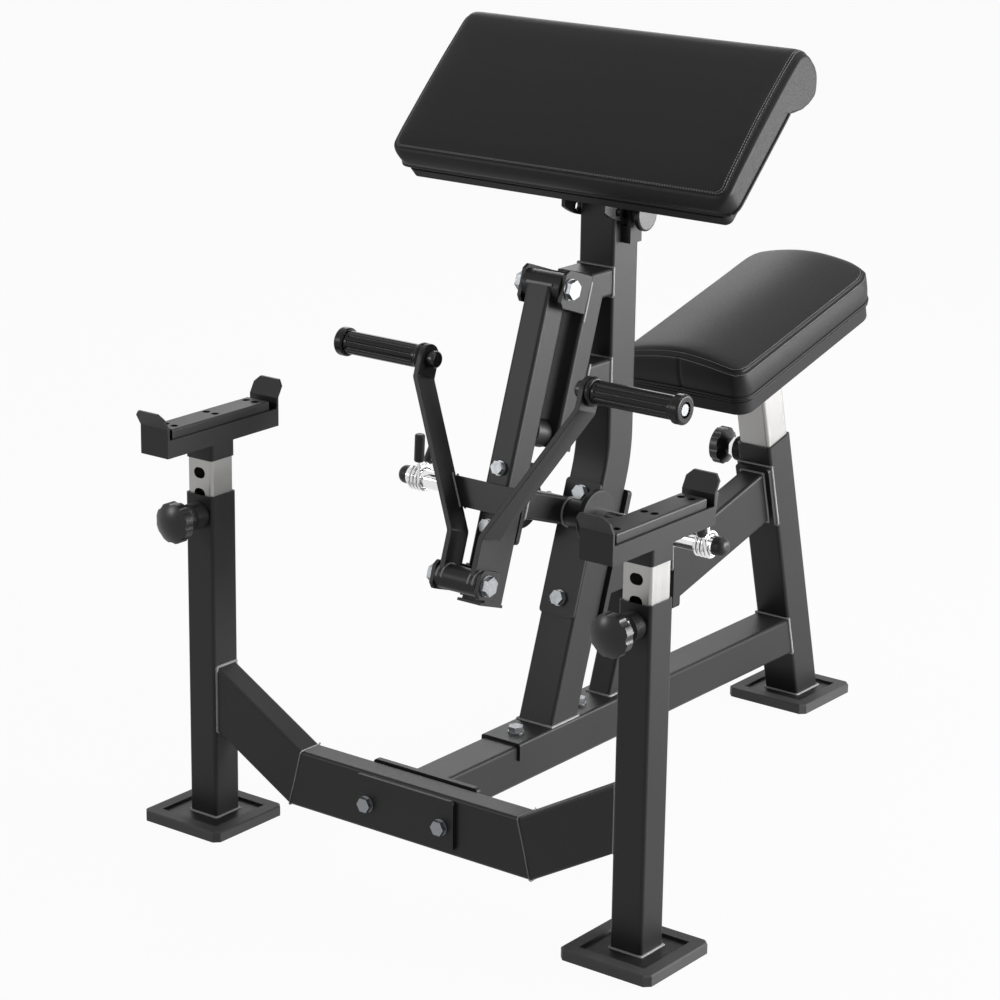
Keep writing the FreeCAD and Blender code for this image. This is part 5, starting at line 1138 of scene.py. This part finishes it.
class BENCH_OT_seat(bpy.types.Operator):
    """Upholster the seat with its seams, stitches and piping"""

    bl_idname = "bench.seat"
    bl_label = "Upholster the seat"

    def execute(self, context):
        sizes = context.scene.bench_sizes
        slope = seat_slope()
        cushion = padded_form("seat_upholstery", "seat_cushion", arch_seat, SEAT_VOXEL)
        keep_off(cushion, slope.origin, slope.out, 0.2 * MM)
        top_seam = seat_loop(2 * MM, SEAT_BAND)
        front = -SEAT_LENGTH / 2
        front_height = round((SEAT_BAND + SEAT_CROWN) / MM)
        front_seam = [slope.point(0, front, height * MM) for height in range(2, front_height, 2)]
        tree = surface_of(cushion)
        seams = [laid_on(tree, top_seam, 0), laid_on(tree, front_seam, 0)]
        sew_in(cushion, seams, sizes.seam_depth, SEAT_SEAM_WIDTH)
        smooth(cushion)
        set_material(cushion, leatherette())
        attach(cushion, "seat")
        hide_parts("seat_cushion")
        tree = surface_of(cushion)
        rows = []
        for inset, height in ((7 * MM, SEAT_BAND + 3 * MM), (0, SEAT_BAND - 5 * MM)):
            rows.append(laid_on(tree, seat_loop(inset, height), STITCH_LIFT))
        stitch_rows("seat_stitches", rows, "seat")
        hems = []
        for height in (2.6 * MM, 7.6 * MM):
            hems.append(laid_on(tree, seat_loop(0, height), PIPING_LIFT))
        piped_edge("seat_piping", hems, "seat", closed=True)
        return {"FINISHED"}


class BENCH_OT_arm_pad(bpy.types.Operator):
    """Upholster the arm pad with its rolled top, seams, stitches and piping"""

    bl_idname = "bench.arm_pad"
    bl_label = "Upholster the arm pad"

    def execute(self, context):
        sizes = context.scene.bench_sizes
        slope = pad_slope()
        cushion = padded_form("pad_upholstery", "pad_cushion", round_pad, PAD_VOXEL)
        tree = surface_of(cushion)
        seam = laid_on(tree, resampled(pad_border(4 * MM), 2.5 * MM), 0)
        sew_in(cushion, [seam], sizes.seam_depth, PAD_SEAM_WIDTH)
        smooth(cushion)
        set_material(cushion, leatherette())
        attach(cushion, "arm_pad")
        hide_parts("pad_cushion")
        tree = surface_of(cushion)
        rows = []
        for inset in (9 * MM, 13 * MM):
            rows.append(laid_on(tree, resampled(pad_border(inset), 3 * MM), STITCH_LIFT))
        stitch_rows("pad_stitches", rows, "arm_pad")
        hem_depth = PAD_BAND - 5 * MM
        hem = [slope.point(-PAD_HALF_WIDTH + 3 * MM, 2 * MM, hem_depth),
               slope.point(PAD_HALF_WIDTH - 3 * MM, 2 * MM, hem_depth)]
        sides = []
        for side in (-1, 1):
            across = side * (PAD_HALF_WIDTH - 2 * MM)
            sides.append([slope.point(across, along, hem_depth) for along in (5 * MM, PAD_CREASE_AT)])
        edges = [laid_on(tree, resampled(path, 4 * MM), PIPING_LIFT) for path in sides + [hem]]
        piped_edge("pad_piping", edges, "arm_pad")
        return {"FINISHED"}


class BENCH_OT_stage(bpy.types.Operator):
    """Set up the floor, the soft light, the background and the camera"""

    bl_idname = "bench.stage"
    bl_label = "Set the stage"

    def execute(self, context):
        make_floor()
        make_background()
        make_lights()
        make_camera()
        context.scene.view_settings.view_transform = "Standard"
        return {"FINISHED"}


def white_for_camera(tree, lit, target):
    """Mix a lit shader with what the camera and mirrors see, and give that one's socket."""
    rays = tree.nodes.new("ShaderNodeLightPath")
    seen = tree.nodes.new("ShaderNodeMath")
    seen.operation = "ADD"
    mirrored = tree.nodes.new("ShaderNodeMath")
    mirrored.operation = "ADD"
    mirrored.use_clamp = True
    tree.links.new(rays.outputs["Is Camera Ray"], seen.inputs[0])
    tree.links.new(rays.outputs["Is Glossy Ray"], seen.inputs[1])
    tree.links.new(seen.outputs[0], mirrored.inputs[0])
    tree.links.new(rays.outputs["Is Transmission Ray"], mirrored.inputs[1])
    mix = tree.nodes.new("ShaderNodeMixShader")
    tree.links.new(mirrored.outputs[0], mix.inputs[0])
    tree.links.new(lit, mix.inputs[1])
    tree.links.new(mix.outputs[0], target)
    return mix.inputs[2]


def make_floor():
    """Pale floor that looks nearly white and keeps the bench's shadow."""
    mesh = bpy.data.meshes.new("floor")
    half = FLOOR_HALF
    corners = [(-half, -half, 0), (half, -half, 0), (half, half, 0), (-half, half, 0)]
    mesh.from_pydata(corners, [], [(0, 1, 2, 3)])
    floor = new_object("floor", mesh)
    floor.location.z = -FLOOR_DROP
    material = bpy.data.materials.new("pale_floor")
    material.use_nodes = True
    tree = material.node_tree
    surface = tree.nodes["Principled BSDF"]
    surface.inputs["Base Color"].default_value = (FLOOR_GREY, FLOOR_GREY, FLOOR_GREY, 1)
    surface.inputs["Roughness"].default_value = 0.55
    white = tree.nodes.new("ShaderNodeEmission")
    white.inputs["Strength"].default_value = 1.0
    share = tree.nodes.new("ShaderNodeMixShader")
    share.inputs[0].default_value = FLOOR_WHITE_SHARE
    tree.links.new(surface.outputs[0], share.inputs[1])
    tree.links.new(white.outputs[0], share.inputs[2])
    target = tree.nodes["Material Output"].inputs["Surface"]
    tree.links.new(share.outputs[0], white_for_camera(tree, surface.outputs[0], target))
    floor.data.materials.append(material)


def make_background():
    """Soft light from all sides, seen as plain white."""
    world = bpy.data.worlds.new("studio")
    world.use_nodes = True
    bpy.context.scene.world = world
    tree = world.node_tree
    light = tree.nodes["Background"]
    light.inputs["Color"].default_value = WHITE
    light.inputs["Strength"].default_value = FILL_LIGHT
    white = tree.nodes.new("ShaderNodeBackground")
    white.inputs["Color"].default_value = WHITE
    white.inputs["Strength"].default_value = 1.0
    target = tree.nodes["World Output"].inputs["Surface"]
    tree.links.new(white.outputs[0], white_for_camera(tree, light.outputs[0], target))


def make_lights():
    """Five square lamps, each with its place, the point it faces, its size and its power in watts."""
    for name, place, target, size, power in (
        ("right", (3.1, 1.3, 1.0), (0, 0, 0.6), 1.6, 200),
        ("right_back", (2.1, 2.6, 0.55), (0, 0, 0.6), 1.1, 46),
        ("front_left", (-1.85, -2.7, 1.5), (0, -0.2, 0.65), 0.7, 22),
        ("left_back", (-2.2, 2.6, 2.1), (0, 0.2, 0.5), 1.3, 15),
        ("above", (0.6, 0.4, 3.6), (0, 0, 0.6), 2.2, 34),
    ):
        lamp = bpy.data.lights.new(name, "AREA")
        lamp.shape = "SQUARE"
        lamp.size = size
        lamp.energy = power
        piece = bpy.data.objects.new(name, lamp)
        bpy.context.scene.collection.objects.link(piece)
        piece.location = place
        direction = Vector(target) - Vector(place)
        piece.rotation_euler = direction.to_track_quat("-Z", "Y").to_euler()


def make_camera():
    """Camera of the photograph, from its place and its three angles."""
    right = Vector((math.cos(CAMERA_AZIMUTH), math.sin(CAMERA_AZIMUTH), 0))
    level = Vector((-math.sin(CAMERA_AZIMUTH), math.cos(CAMERA_AZIMUTH), 0))
    forward = level * math.cos(CAMERA_ELEVATION) - Vector((0, 0, 1)) * math.sin(CAMERA_ELEVATION)
    up = right.cross(forward)
    rolled_right = right * math.cos(CAMERA_ROLL) + up * math.sin(CAMERA_ROLL)
    rolled_up = up * math.cos(CAMERA_ROLL) - right * math.sin(CAMERA_ROLL)
    camera = bpy.data.cameras.new("photograph")
    camera.angle = CAMERA_ANGLE
    camera.clip_end = 50
    piece = bpy.data.objects.new("photograph", camera)
    bpy.context.scene.collection.objects.link(piece)
    turn = Matrix((rolled_right, rolled_up, -forward)).transposed()
    piece.matrix_world = Matrix.Translation(CAMERA_PLACE) @ turn.to_4x4()
    bpy.context.scene.camera = piece


class BENCH_PT_panel(bpy.types.Panel):
    """Lists the settings and the steps that dress the bench"""

    bl_idname = "BENCH_PT_panel"
    bl_label = "Preacher curl bench"
    bl_space_type = "VIEW_3D"
    bl_region_type = "UI"
    bl_category = "Bench"

    def draw(self, context):
        for settings in (context.scene.bench_sizes, context.scene.bench_looks):
            for name in type(settings).__annotations__:
                self.layout.prop(settings, name)
        for operator in OPERATORS:
            self.layout.operator(operator.bl_idname)


OPERATORS = (
    BENCH_OT_coat_frame,
    BENCH_OT_bright_parts,
    BENCH_OT_moulded_parts,
    BENCH_OT_welds,
    BENCH_OT_threads,
    BENCH_OT_seat,
    BENCH_OT_arm_pad,
    BENCH_OT_stage,
)
CLASSES = (BenchSizes, BenchLooks) + OPERATORS + (BENCH_PT_panel,)


def register():
    for kind in CLASSES:
        bpy.utils.register_class(kind)
    bpy.types.Scene.bench_sizes = PointerProperty(type=BenchSizes)
    bpy.types.Scene.bench_looks = PointerProperty(type=BenchLooks)


def unregister():
    del bpy.types.Scene.bench_looks
    del bpy.types.Scene.bench_sizes
    for kind in reversed(CLASSES):
        bpy.utils.unregister_class(kind)


def main():
    register()
    bpy.ops.bench.coat_frame()
    bpy.ops.bench.bright_parts()
    bpy.ops.bench.moulded_parts()
    bpy.ops.bench.welds()
    bpy.ops.bench.threads()
    bpy.ops.bench.seat()
    bpy.ops.bench.arm_pad()
    bpy.ops.bench.stage()


if __name__ == "__main__":
    main()
